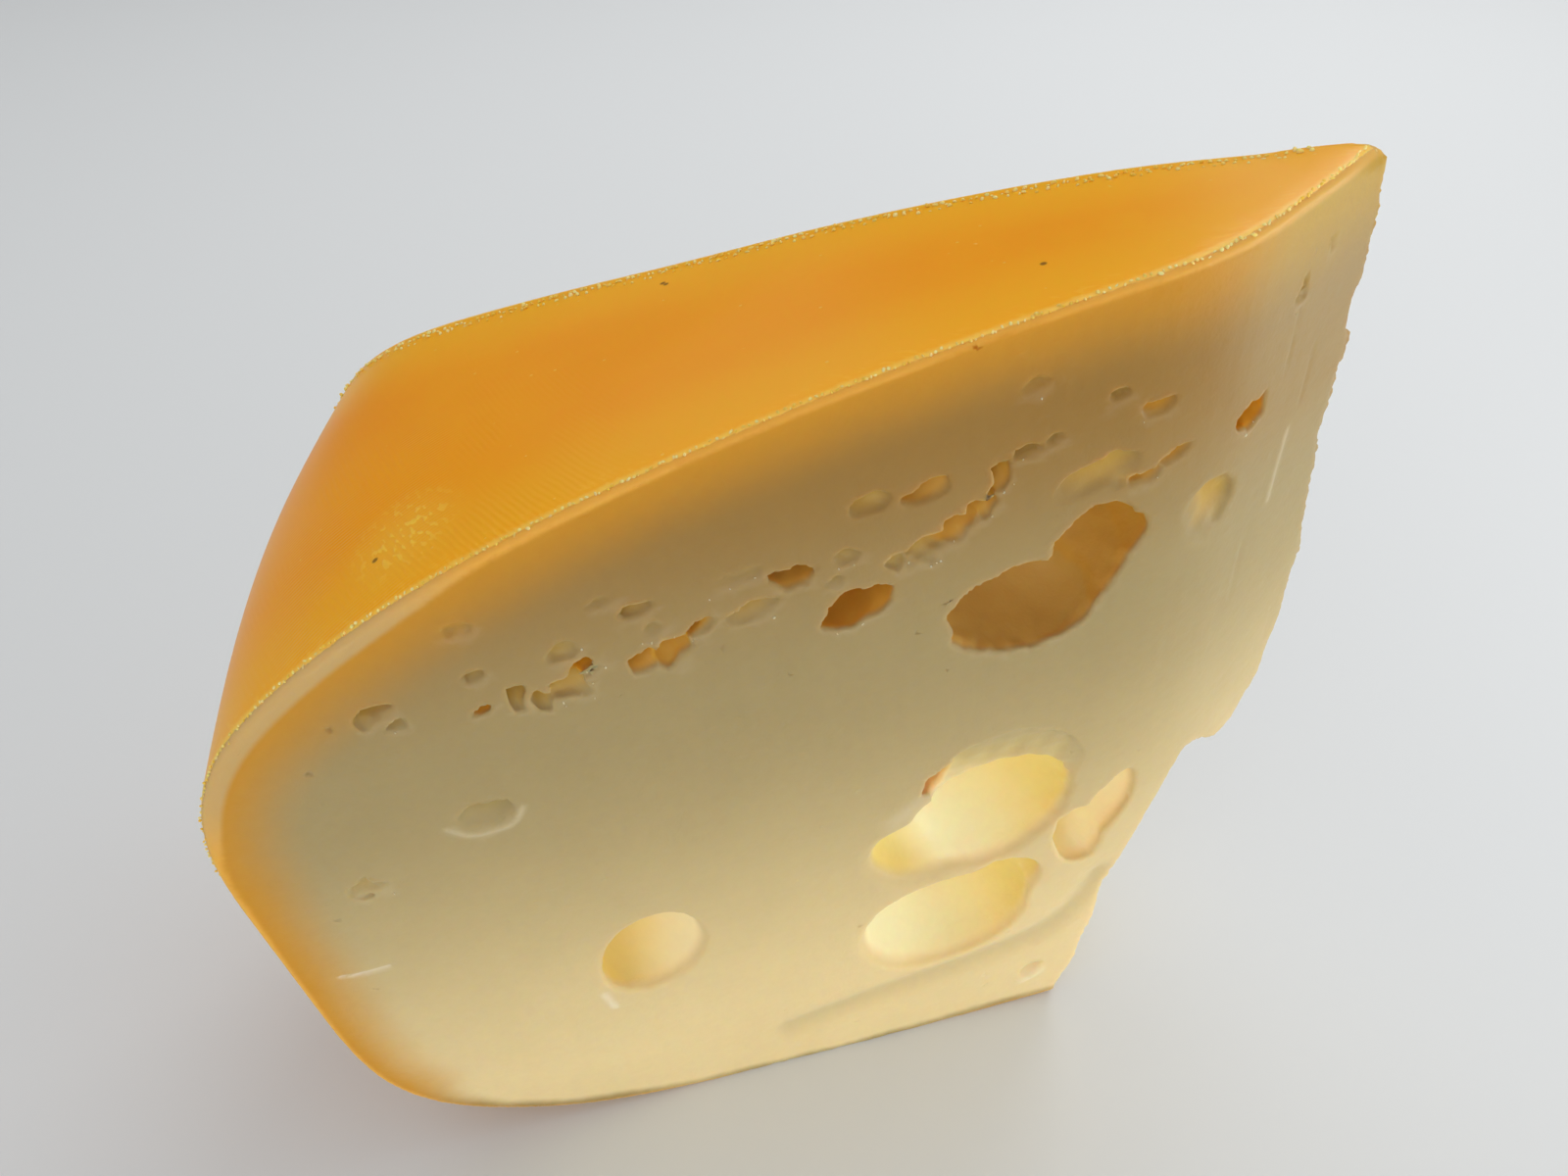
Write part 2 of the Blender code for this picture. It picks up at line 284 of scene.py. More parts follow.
@dataclass(frozen=True)
class Eye:
    """A gas bubble's hollow, opened by a cut: an ellipsoid sunk into the cut face.

    x and z place its mouth in millimetres in the wheel's frame (on the far cut, x is minus
    the distance from the wheel's axis). wide and high are the mouth's half sizes, deep is
    the hollow's depth, turn rolls the mouth anticlockwise in degrees, and sunk says how
    far the ellipsoid's middle lies behind the face, as a share of its half depth. torn is
    how ragged its wall is, and soft how far its mouth is rounded, both in millimetres.
    The hollow slants as it deepens, by dip for each step inwards, towards dip_way in
    degrees anticlockwise: its wall there is undercut, and the wall across is a ramp.
    warm says how much painted orange shade its wall gets, from 0 to 1.
    """

    x: float
    z: float
    wide: float
    high: float
    deep: float
    turn: float = 0.0
    sunk: float = 0.0
    torn: float = 0.12
    soft: float = 0.5
    dip: float = 0.8
    dip_way: float = 115.0
    warm: float = 0.3


@dataclass(frozen=True)
class Mark:
    """A groove drawn along the near cut face, from point to point in millimetres.

    Below 0, deep makes it a ridge. pale says how much it whitens the paste, and below 0
    how much painted shade it lays along the groove.
    """

    line: tuple[Span, ...]
    wide: float
    deep: float
    pale: float = 0.0


class CutFace(Enum):
    """The two faces that the knife left."""

    NEAR = "near"
    FAR = "far"


NEAR_EYES = (
    # the deep bean under the tip's shelf, in three lobes
    Eye(-79.6, 81.9, 8.2, 5.9, 11.0, -10, 0.30, 0.15, 0.4, 0.15, 90, 0.45),
    Eye(-73.3, 86.0, 4.7, 7.9, 9.5, -22, 0.30, 0.15, 0.4, 0.15, 90, 0.6),
    Eye(-69.6, 88.6, 2.8, 2.6, 6.0, 35, 0.20, 0.15, 0.4, 0.15, 90, 0.7),
    # deep ones in the crowded row
    Eye(-97.2, 88.3, 3.9, 2.2, 6.5, 20, 0.30, 0.15, 0.25, 0.2, 100, 0.8),
    Eye(-103.4, 94.3, 2.2, 1.4, 4.5, -5, 0.25, 0.2, 0.3, 0.3, 100, 0.7),
    Eye(-54.6, 96.9, 2.3, 1.5, 3.8, 14, 0.25, 0.25, 0.3, 0.3, 100, 1.0),
    Eye(-118.6, 88.0, 1.7, 1.0, 2.8, 32, 0.0, 0.3, 0.3, 0.6, 115, 0.7),
    Eye(-113.2, 90.6, 1.6, 0.5, 3.0, 42, 0.0, 0.25, 0.2, 0.2, 115, 0.7),
    Eye(-124.6, 89.6, 1.5, 0.45, 3.5, 28, 0.0, 0.3, 0.2, 0.2, 115, 1.0),
    Eye(-115.6, 88.1, 1.6, 1.9, 2.2, -20, 0.0, 0.3, 0.3, warm=0.7),
    Eye(-131.0, 87.6, 1.0, 1.4, 1.8, 0, 0.0, 0.3, 0.3),
    Eye(-126.0, 87.4, 1.8, 1.5, 1.8, 10, 0.0, 0.3, 0.3),
    Eye(-144.1, 90.1, 1.9, 1.1, 1.6, 25, -0.2, 0.2, 0.3),
    Eye(-118.3, 94.6, 1.8, 0.8, 1.4, 10, -0.2, 0.2, 0.3),
    Eye(-107.5, 91.0, 2.6, 0.9, 1.2, 15, -0.3, 0.25, 0.4),
    # ovals, dents and a torn chain around the bean
    Eye(-95.2, 100.7, 2.1, 1.2, 1.2, 12, -0.2, 0.08, 0.3, 0.6, 130),
    Eye(-89.8, 100.5, 2.5, 1.15, 2.0, 18, 0.0, 0.1, 0.3, 0.6, 130, 0.6),
    Eye(-82.8, 100.2, 1.1, 2.0, 4.0, -25, 0.2, 0.25, 0.3, warm=0.7),
    Eye(-84.2, 97.3, 1.4, 1.2, 3.0, 20, 0.1, 0.25, 0.3, warm=0.7),
    Eye(-86.8, 95.4, 2.4, 1.4, 2.6, 35, 0.0, 0.25, 0.4, warm=0.7),
    Eye(-89.6, 93.8, 3.0, 1.3, 1.3, 20, -0.3, 0.25, 0.4),
    Eye(-66.8, 103.6, 1.9, 0.8, 1.6, 0, -0.1, 0.15, 0.3, warm=0.7),
    Eye(-72.6, 97.2, 4.6, 2.0, 1.4, 14, -0.4, 0.1, 0.4, 1.2, 100),
    Eye(-64.3, 97.2, 2.2, 0.7, 1.5, 14, -0.1, 0.15, 0.3, 0.5, 110, 0.7),
    Eye(-59.2, 87.6, 4.4, 3.8, 1.3, -25, -0.5, 0.15, 0.5, 1.6, 40),
    # the lower half: a curl, a round bowl, and two large hollows of two lobes each, with a
    # thin wall between them; a shallow shelf and a slit lie above the upper hollow
    Eye(-138.4, 71.9, 2.9, 1.6, 1.5, -5, -0.3, 0.10, 0.35, 1.3, 60, 0.0),
    Eye(-126.7, 38.7, 6.6, 8.0, 6.5, -28, -0.1, 0.03, 0.7, 0.55, 165, 0.12),
    Eye(-83.2, 47.6, 10.8, 9.0, 8.6, 25, -0.15, 0.06, 1.0, 0.3, 40, 0.0),
    Eye(-81.2, 55.4, 9.4, 6.8, 0.9, -8, -0.3, 0.08, 0.5, 0.5, 60, 0.0),
    Eye(-92.6, 43.8, 4.9, 5.4, 5.0, 20, -0.1, 0.05, 2.4, 0.1, 190, 0.0),
    Eye(-88.6, 27.2, 12.0, 9.7, 8.6, 6, -0.15, 0.05, 0.8, 0.3, 40, 0.0),
    Eye(-81.0, 32.6, 4.9, 4.9, 6.0, 0, -0.1, 0.06, 1.2, 0.3, 40, 0.0),
    Eye(-89.9, 57.4, 1.1, 2.8, 3.2, -30, 0.0, 0.15, 0.25, 0.0, 90, 0.55),
    # the banana-shaped hollow of two lobes beside the broken tip, and a curl near the foot
    Eye(-68.0, 42.0, 3.1, 8.0, 4.4, -27, 0.0, 0.08, 0.5, 0.0, 150, 0.12),
    Eye(-70.7, 39.1, 3.5, 5.6, 5.0, 4, 0.1, 0.08, 0.6, 0.0, 150, 0.12),
    Eye(-76.3, 8.6, 1.9, 0.9, 1.4, 25, -0.2, 0.06, 0.3, 1.0, 120, 0.0),
    # pinpricks and slits too small for the solid
    Eye(-77.4, 102.8, 0.8, 0.45, 0.7, 10),
    Eye(-80.0, 102.2, 1.6, 0.5, 1.2, 10, 0.0, 0.2, 0.3),
    Eye(-71.1, 106.3, 1.2, 0.65, 0.9, 12),
    Eye(-79.3, 109.4, 1.5, 0.55, 0.6, 8, -0.3),
    Eye(-67.8, 95.6, 1.9, 0.7, 1.2, 8, 0.0, 0.2, 0.3, warm=0.7),
    Eye(-134.3, 87.5, 1.1, 0.6, 2.2, 25, 0.1, 0.2, 0.25, 0.3, 115, 0.9),
    Eye(-128.8, 86.2, 0.8, 1.3, 1.3, 0, 0.0, 0.3, 0.3),
    Eye(-124.4, 88.9, 1.7, 0.5, 2.0, 18, 0.1, 0.3, 0.25),
    Eye(-112.3, 90.5, 1.4, 0.6, 1.0, 40, 0.0, 0.25, 0.3),
    Eye(-125.8, 92.0, 1.7, 1.0, 0.6, 35, -0.4, 0.15, 0.4),
    Eye(-117.0, 92.0, 1.2, 0.9, 0.5, 35, -0.4, 0.15, 0.4),
    Eye(-121.3, 96.8, 1.3, 0.8, 0.5, 10, -0.4, 0.15, 0.4),
    Eye(-134.2, 91.9, 1.0, 0.6, 0.8, 5),
    Eye(-134.0, 98.0, 1.2, 0.6, 0.4, 0, -0.4),
    Eye(-142.6, 88.0, 0.9, 0.6, 0.7, 0),
    Eye(-152.0, 84.4, 0.4, 0.4, 0.4, 0, 0.0, 0.0, 0.2),
    Eye(-148.3, 89.6, 0.4, 0.4, 0.3, 0, 0.0, 0.0, 0.2),
    Eye(-108.5, 95.7, 2.3, 0.6, 0.5, 5, -0.4, 0.15, 0.4),
    Eye(-97.9, 95.1, 1.3, 0.9, 0.6, 10, -0.4, 0.15, 0.4),
    Eye(-99.2, 92.3, 0.8, 0.6, 0.6, 0),
    Eye(-93.0, 92.6, 1.0, 0.9, 0.8, 0, 0.0, 0.25, 0.3),
    Eye(-153.0, 65.5, 1.4, 1.5, 0.6, 0, -0.3, 0.4, 0.4),
    # bites out of the tip's edge
    Eye(-36.9, 74.0, 1.8, 7.5, 4.0, 0, 0.0, 0.2, 0.6, 0.0, 90, 0.0),
    Eye(-37.6, 100.2, 2.2, 3.0, 4.0, 0, 0.0, 0.2, 0.6, 0.0, 90, 0.0),
    Eye(-46.0, 111.7, 0.7, 0.6, 0.6, 0, -0.2, 0.2, 0.25),
    Eye(-49.8, 108.2, 0.9, 1.2, 0.6, 0, -0.3, 0.2, 0.3),
)

# the far cut's eyes: of the same kinds, and fewer
FAR_EYES = (
    Eye(-82.0, 42.0, 9.5, 8.0, 6.0, 10, -0.2, 0.15, 1.0),
    Eye(-98.0, 31.0, 6.0, 5.0, 4.5, -15, -0.1, 0.1, 0.8),
    Eye(-128.0, 52.0, 5.0, 6.2, 4.5, 20, 0.0, 0.06, 0.8),
    Eye(-72.0, 84.0, 6.4, 4.8, 6.5, -10, 0.25, 0.2, 0.5),
    Eye(-88.0, 92.0, 3.2, 2.2, 3.0, -15, 0.2, 0.25, 0.4),
    Eye(-104.0, 90.0, 2.6, 1.5, 2.2, 10, 0.0, 0.25, 0.4),
    Eye(-117.0, 88.0, 2.2, 1.4, 2.0, -20, 0.0, 0.3, 0.3),
    Eye(-124.0, 84.0, 1.6, 1.2, 1.6, 15, 0.0, 0.3, 0.3),
    Eye(-60.0, 100.0, 2.2, 1.2, 1.8, -8, 0.0, 0.2, 0.3),
    Eye(-110.0, 66.0, 2.4, 1.8, 1.6, 12, -0.2, 0.1, 0.4),
)


MARKS = (
    # the crease that runs up from the underside to the broken corner, darkened with painted shade
    Mark(
        ((-112.0, 11.2), (-101.5, 12.8), (-92.1, 13.9), (-84.1, 15.3), (-75.4, 17.8),
         (-70.4, 22.3), (-67.4, 28.0)), 2.1, 0.8, -0.4,
    ),
    # the flap beside the slit, and the raised lips of the curls at the foot and at the left
    Mark(((-94.6, 51.6), (-91.4, 54.2)), 1.5, 0.15, 0.3),
    Mark(((-77.6, 6.4), (-75.4, 7.4)), 0.9, -0.45, 0.5),
    Mark(((-142.6, 71.4), (-140.4, 69.4), (-136.4, 69.6), (-134.6, 71.8)), 0.4, -0.12, 0.35),
    # a pale scratch beside the rim, and a pale fold under the bowl
    Mark(((-160.6, 51.2), (-158.4, 50.7), (-155.4, 50.7)), 0.28, 0.22, 1.0),
    Mark(((-134.1, 32.6), (-133.4, 29.3)), 0.5, -0.12, 0.9),
    # knife streaks beside the tip
    Mark(((-47.1, 90.4), (-47.6, 86.0), (-48.1, 81.5)), 0.35, -0.12, 0.35),
    Mark(((-49.6, 106.0), (-50.0, 99.6)), 0.3, 0.12),
    Mark(((-45.4, 100.0), (-45.8, 93.0)), 0.3, 0.14),
    Mark(((-51.5, 78.0), (-52.2, 70.0)), 0.5, 0.1),
)


@dataclass(frozen=True)
class Hollow:
    """One eye placed in the wheel's frame: its mouth, its axes and its wall's matrix."""

    eye: Eye
    mouth: np.ndarray
    axes: np.ndarray
    middle: np.ndarray
    bulge: np.ndarray
    reach: float
    seed: int

    def distance(self, points: np.ndarray) -> np.ndarray:
        """The distance to the hollow's wall, negative inside it. It is torn most at its mouth."""
        small = min(self.eye.wide, self.eye.high)
        depth = (points - self.mouth) @ self.axes[1]
        torn = self.eye.torn * (0.25 + 0.75 * ease(0.6 * small + 0.4, 0.1, depth))
        fine = self.wobble(points, 0, 2.4, 6)
        broad = self.wobble(points, 7, 3.0 * small, 5)
        shaken = points + torn[:, None] * fine + 0.05 * small * broad
        scaled = (shaken - self.middle) @ self.bulge.T
        length = np.linalg.norm(scaled, axis=1)
        steepness = np.linalg.norm(scaled @ self.bulge, axis=1)
        return length * (length - 1.0) / np.maximum(steepness, 1e-6)

    def wobble(self, points: np.ndarray, skip: int, wavelength: float, waves: int) -> np.ndarray:
        """Three ripples, one for each direction, drawn from seeds that skip ahead."""
        ripples = (Ripple(self.seed + skip + way, wavelength, waves) for way in range(3))
        return np.stack([ripple(points) for ripple in ripples], axis=1)


@dataclass(frozen=True)
class WedgeForm:
    """The wedge as a field of distances: the wheel's skin, the cuts, the break and the eyes."""

    wheel: Wheel = Wheel()
    angle: float = math.radians(21.3)
    bend_radius: float = 62.2
    tip_radius: float = 38.9
    bend_rounding: float = 4.1
    bend_reach: float = 2.4
    tip_rounding: float = 3.4
    edge_rounding: float = 1.15
    rim_rounding: float = 1.0
    foot_rounding: float = 1.1
    corner_rounding: float = 3.6
    far_lift: float = 0.35
    tip_lift: float = 0.7
    rim_lift: float = 0.35
    lean: float = math.radians(3.5)
    foot_of_tip: float = -75.0
    burr: float = 0.18
    burr_reach: float = 2.0
    margin: float = 3.0
    torn_from: float = 0.12
    tip_reach: float = 3.5
    break_rounding: float = 1.0
    standing_rounding: float = 0.4
    swell: Ripple = Ripple(41, 22.0, height=0.045)
    knife_waves: tuple[Ripple, ...] = (
        Ripple(31, 26.0, 8, height=0.10),
        Ripple(32, 1.6, 10, (1.0, 1.0, 14.0), 0.010),
        Ripple(33, 0.9, height=0.012),
    )
    tip_waves: tuple[Ripple, ...] = (
        Ripple(7, 7.0, 8, (9.0, 9.0, 1.0), 0.12),
        Ripple(8, 1.1, height=0.07),
    )
    break_waves: tuple[Ripple, ...] = (Ripple(21, 6.0, height=0.22), Ripple(22, 1.3, height=0.06))
    tip_span: Span = (-78.0, -46.0)
    tip_heights: Span = (55.0, 85.0)
    rim_span: Span = (-105.0, -150.0)
    rim_heights: Span = (58.0, 90.0)
    lift_heights: Span = (85.0, 100.0)
    tip_lift_span: Span = (-50.0, -39.0)
    rim_lift_span: Span = (-150.0, -160.0)
    foot_heights: Span = (40.0, 20.0)
    corner_span: Span = (-47.0, -40.0)
    break_line: tuple[Span, ...] = (
        (-73.8, -4.0), (-71.2, 3.0), (-69.0, 10.0), (-65.0, 27.0), (-60.0, 38.4), (-56.8, 44.2),
        (-55.0, 45.6), (-49.6, 41.2), (-45.4, 41.4), (-41.8, 45.4), (-39.6, 50.5), (-38.2, 56.0),
        (-36.0, 62.0), (-14.0, 66.0),
    )
    break_low: Span = (-110.0, -12.0)
    break_high: Span = (-14.0, 80.0)
    break_step: float = 0.25
    drawn: tuple[Mark, ...] = MARKS
    tables: dict[str, Table] = field(default_factory=dict)
    hollows: list[Hollow] = field(default_factory=list)

    def prepare(self) -> None:
        """Works out the tables of distances and places the eyes."""
        self.tables["near"] = self.wheel.table(0.0)
        self.tables["far"] = self.wheel.table(1.0)
        line = smooth_line(np.array(self.break_line), 8)
        closing = np.array([[line[-1, 0], -20.0], [line[0, 0], -20.0]])
        area = (self.break_low, self.break_high, self.break_step)
        self.tables["break"] = outline_table(line, closing, *area)
        for face, eyes, seed in ((CutFace.NEAR, NEAR_EYES, 100), (CutFace.FAR, FAR_EYES, 900)):
            for number, eye in enumerate(eyes):
                self.hollows.append(self.place(eye, face, seed + 5 * number))

    def bend(self) -> tuple[np.ndarray, np.ndarray, float]:
        """The bent end of the near cut: a point on it, its outward normal and its turn."""
        start = np.array([-self.bend_radius, 0.0])
        run = self.far_point(self.tip_radius) - start
        turn = math.atan2(run[1], run[0])
        return start, np.array([math.sin(turn), -math.cos(turn)]), turn

    def far_point(self, radius: float) -> np.ndarray:
        """A point of the far cut in plan, at a distance from the wheel's axis."""
        return radius * np.array([-math.cos(self.angle), math.sin(self.angle)])

    def near_wall(self, x: float) -> Span:
        """The near cut at x: how far it lies behind the plane y = 0, and its turn about Z."""
        start, _, turn = self.bend()
        reach = self.bend_reach
        behind = math.tan(turn) * (x - start[0])
        overlap = max(reach - abs(behind), 0.0)
        rounded = max(behind, 0.0) + overlap**2 / (4.0 * reach)
        share = float(ease(-reach, reach, np.array(behind)))
        return rounded, turn * share

    def place(self, eye: Eye, face: CutFace, seed: int) -> Hollow:
        """Sets an eye's ellipsoid behind its mouth on a cut face.

        Args:
            eye: The eye.
            face: The cut that opened it.
            seed: What its ragged wall is drawn from.

        Returns:
            The placed hollow.
        """
        if face is CutFace.NEAR:
            behind, turn = self.near_wall(eye.x)
            mouth = np.array([eye.x, behind, eye.z])
        else:
            mouth = np.array([*self.far_point(-eye.x), eye.z])
            turn = math.pi - self.angle
        inward = np.array([-math.sin(turn), math.cos(turn), 0.0])
        across = np.array([math.cos(turn), math.sin(turn), 0.0])
        upward = np.array([0.0, 0.0, 1.0])
        roll = math.radians(eye.turn)
        axes = np.stack(
            (
                math.cos(roll) * across + math.sin(roll) * upward,
                inward,
                math.cos(roll) * upward - math.sin(roll) * across,
            )
        )
        spread = 1.0 / math.sqrt(1.0 - eye.sunk**2)
        half_depth = eye.deep / (1.0 + eye.sunk)
        sizes = np.array([eye.wide * spread, half_depth, eye.high * spread])
        slant = math.radians(eye.dip_way - eye.turn)
        shear = np.eye(3)
        shear[0, 1], shear[2, 1] = -eye.dip * math.cos(slant), -eye.dip * math.sin(slant)
        bulge = (shear @ axes) / sizes[:, None]
        middle = np.linalg.solve(shear @ axes, np.array([0.0, eye.sunk * half_depth, 0.0])) + mouth
        reach = float(sizes.max() * 1.1 + eye.dip * eye.deep + 2.5 * eye.torn + eye.soft + 1.0)
        return Hollow(eye, mouth, axes, middle, bulge, reach, seed)

    def skin(self, points: np.ndarray) -> np.ndarray:
        """The distance to the wheel's coated surface, negative inside the wheel."""
        radius = np.hypot(points[:, 0], points[:, 1])
        azimuth = np.arctan2(points[:, 1], -points[:, 0])
        share = np.clip(azimuth / self.angle, 0.0, 1.0)
        near = self.tables["near"](radius, points[:, 2])
        far = self.tables["far"](radius, points[:, 2])
        skin = near * (1.0 - share) + far * share
        close = np.flatnonzero(np.abs(skin) < self.margin)
        skin[close] += self.swell(points[close])
        high = ease(*self.lift_heights, points[:, 2])
        far_lift = self.far_lift * share * high
        tip_lift = self.tip_lift * ease(*self.tip_lift_span, points[:, 0]) * high
        rim_lift = self.rim_lift * ease(*self.rim_lift_span, points[:, 0])
        return skin - (far_lift + tip_lift) - rim_lift

    def near_cut(self, points: np.ndarray) -> np.ndarray:
        """The distance to the near cut with its bend beside the tip, negative inside."""
        start, normal, _ = self.bend()
        bent = (points[:, 0] - start[0]) * normal[0] + (points[:, 1] - start[1]) * normal[1]
        return smooth_max(-points[:, 1], bent, self.bend_rounding)

    def cuts(self, points: np.ndarray) -> np.ndarray:
        """The distance to the nearest cut face, negative on the wedge's side."""
        near = self.near_cut(points)
        far = points[:, 0] * math.sin(self.angle) + points[:, 1] * math.cos(self.angle)
        close = np.flatnonzero((np.abs(near) < self.margin) & (far < self.margin))
        near[close] += self.knife(points[close]) + self.marks(points[close])[0]
        close = np.flatnonzero((np.abs(far) < self.margin) & (near < self.margin))
        far[close] += self.knife(points[close])
        cuts = smooth_max(near, far, self.tip_rounding)
        apart, outer, reach = np.abs(near - far), np.maximum(near, far), self.tip_reach
        tip = np.flatnonzero((apart < reach) & (outer > -self.margin))
        ragged = sum(wave(points[tip]) for wave in self.tip_waves)
        ragged *= ease(reach, 0.5, apart[tip]) * ease(-self.margin, -0.5, outer[tip])
        cuts[tip] += ragged
        return cuts

    def knife(self, points: np.ndarray) -> np.ndarray:
        """The slight waves that a knife leaves: broad swells and fine upright streaks."""
        return sum(wave(points) for wave in self.knife_waves)

    def marks(self, points: np.ndarray) -> tuple[np.ndarray, np.ndarray]:
        """How deep the marks on the near cut are at each point, and how pale."""
        depth, pale = np.zeros(len(points)), np.zeros(len(points))
        for mark in self.drawn:
            line = np.array(mark.line)
            reach = 3.0 * mark.wide
            low, high = line.min(axis=0) - reach, line.max(axis=0) + reach
            flat = points[:, [0, 2]]
            close = np.flatnonzero(((flat > low) & (flat < high)).all(axis=1))
            if not len(close):
                continue
            gap = line_gap(flat[close], smooth_line(line, 4) if len(line) > 2 else line)
            profile = np.exp(-((gap / mark.wide) ** 2))
            depth[close] += mark.deep * profile
            pale[close] += mark.pale * profile
        return depth, pale

    def at_tip(self, points: np.ndarray) -> np.ndarray:
        """How close points are to the tip, from 0 to 1."""
        return ease(*self.tip_span, points[:, 0]) * ease(*self.tip_heights, points[:, 2])

    def at_rim(self, points: np.ndarray) -> np.ndarray:
        """How close points are to the upper half of the wheel's rim, from 0 to 1."""
        return ease(*self.rim_span, points[:, 0]) * ease(*self.rim_heights, points[:, 2])

    def walls(self, points: np.ndarray) -> tuple[np.ndarray, np.ndarray, np.ndarray]:
        """Which points lie on a torn lip, on an undercut wall that gets painted shade, or on a
        wall that gets painted orange shade.

        Args:
            points: Places in the wheel's frame, one a row.

        Returns:
            One share of each for each point, from 0 to 1.
        """
        lip, undercut, warm = np.zeros((3, len(points)))
        for hollow in self.hollows:
            eye = hollow.eye
            away = np.abs(points - hollow.middle).max(axis=1)
            close = np.flatnonzero(away < hollow.reach + 1.0)
            gap = hollow.distance(points[close])
            away = (points[close] - hollow.mouth) @ hollow.axes.T
            slant = math.radians(eye.dip_way - eye.turn)
            facing = away[:, 0] / eye.wide * math.cos(slant)
            facing += away[:, 2] / eye.high * math.sin(slant)
            wall = ease(0.7, 0.2, np.abs(gap)) * ease(0.0, 0.25 * eye.deep, away[:, 1])
            undercut[close] = np.maximum(undercut[close], wall * ease(-0.8, 0.7, facing))
            warm[close] = np.maximum(warm[close], eye.warm * ease(1.0, 0.3, np.abs(gap)))
            if eye.torn >= self.torn_from:
                ring = ease(0.45, 0.1, np.abs(gap - 0.35)) * ease(0.8, 0.2, away[:, 1])
                lip[close] = np.maximum(lip[close], ring * ease(-0.2, -1.1, facing))
        return lip, undercut, warm

    def height(self, points: np.ndarray) -> np.ndarray:
        """The height above the table that the leaned wedge stands on."""
        along = points[:, 0] - self.foot_of_tip
        return along * math.sin(self.lean) + points[:, 2] * math.cos(self.lean)

    def blank(self, points: np.ndarray) -> np.ndarray:
        """The distance to the wedge without its eyes, negative inside.

        Args:
            points: Places in the wheel's frame, one a row.

        Returns:
            One distance for each point.
        """
        skin = self.skin(points)
        cuts = self.cuts(points)
        close = np.abs(cuts) < self.burr_reach
        raised = np.zeros(len(points))
        raised[close] = self.burr * ease(0.0, -0.25, skin[close]) * ease(-1.5, -0.5, skin[close])
        places = (
            (self.at_rim(points), self.rim_rounding),
            (ease(*self.foot_heights, points[:, 2]), self.foot_rounding),
            (ease(*self.corner_span, points[:, 0]), self.corner_rounding),
        )
        rounding = self.edge_rounding
        for share, there in places:
            rounding = rounding + share * (there - self.edge_rounding)
        body = smooth_max(skin, cuts - raised, rounding)
        near_break = self.tables["break"](points[:, 0], points[:, 2])
        rough = np.zeros(len(points))
        close = np.abs(near_break) < self.margin
        rough[close] = sum(wave(points[close]) for wave in self.break_waves)
        body = smooth_max(body, -(near_break + rough), self.break_rounding)
        return smooth_max(body, -self.height(points), self.standing_rounding)

    def whole(self, points: np.ndarray) -> np.ndarray:
        """The distance to the wedge with its eyes, negative inside."""
        body = self.blank(points)
        low, high = points.min(axis=0), points.max(axis=0)
        for hollow in self.hollows:
            middle, reach = hollow.middle, hollow.reach
            if np.any(middle + reach < low) or np.any(middle - reach > high):
                continue
            close = np.flatnonzero(np.abs(points - middle).max(axis=1) < reach)
            if len(close):
                wall = -hollow.distance(points[close])
                body[close] = smooth_max(body[close], wall, hollow.eye.soft)
        return body

    def to_table(self, points: np.ndarray) -> np.ndarray:
        """Leans points of the wheel's frame about the tip's foot, as the wedge stands."""
        along = points[:, 0] - self.foot_of_tip
        leaned = points.copy()
        forward = along * math.cos(self.lean) - points[:, 2] * math.sin(self.lean)
        leaned[:, 0] = self.foot_of_tip + forward
        leaned[:, 2] = self.height(points)
        return leaned


# ------------------------------------------------------------- meshing of a field


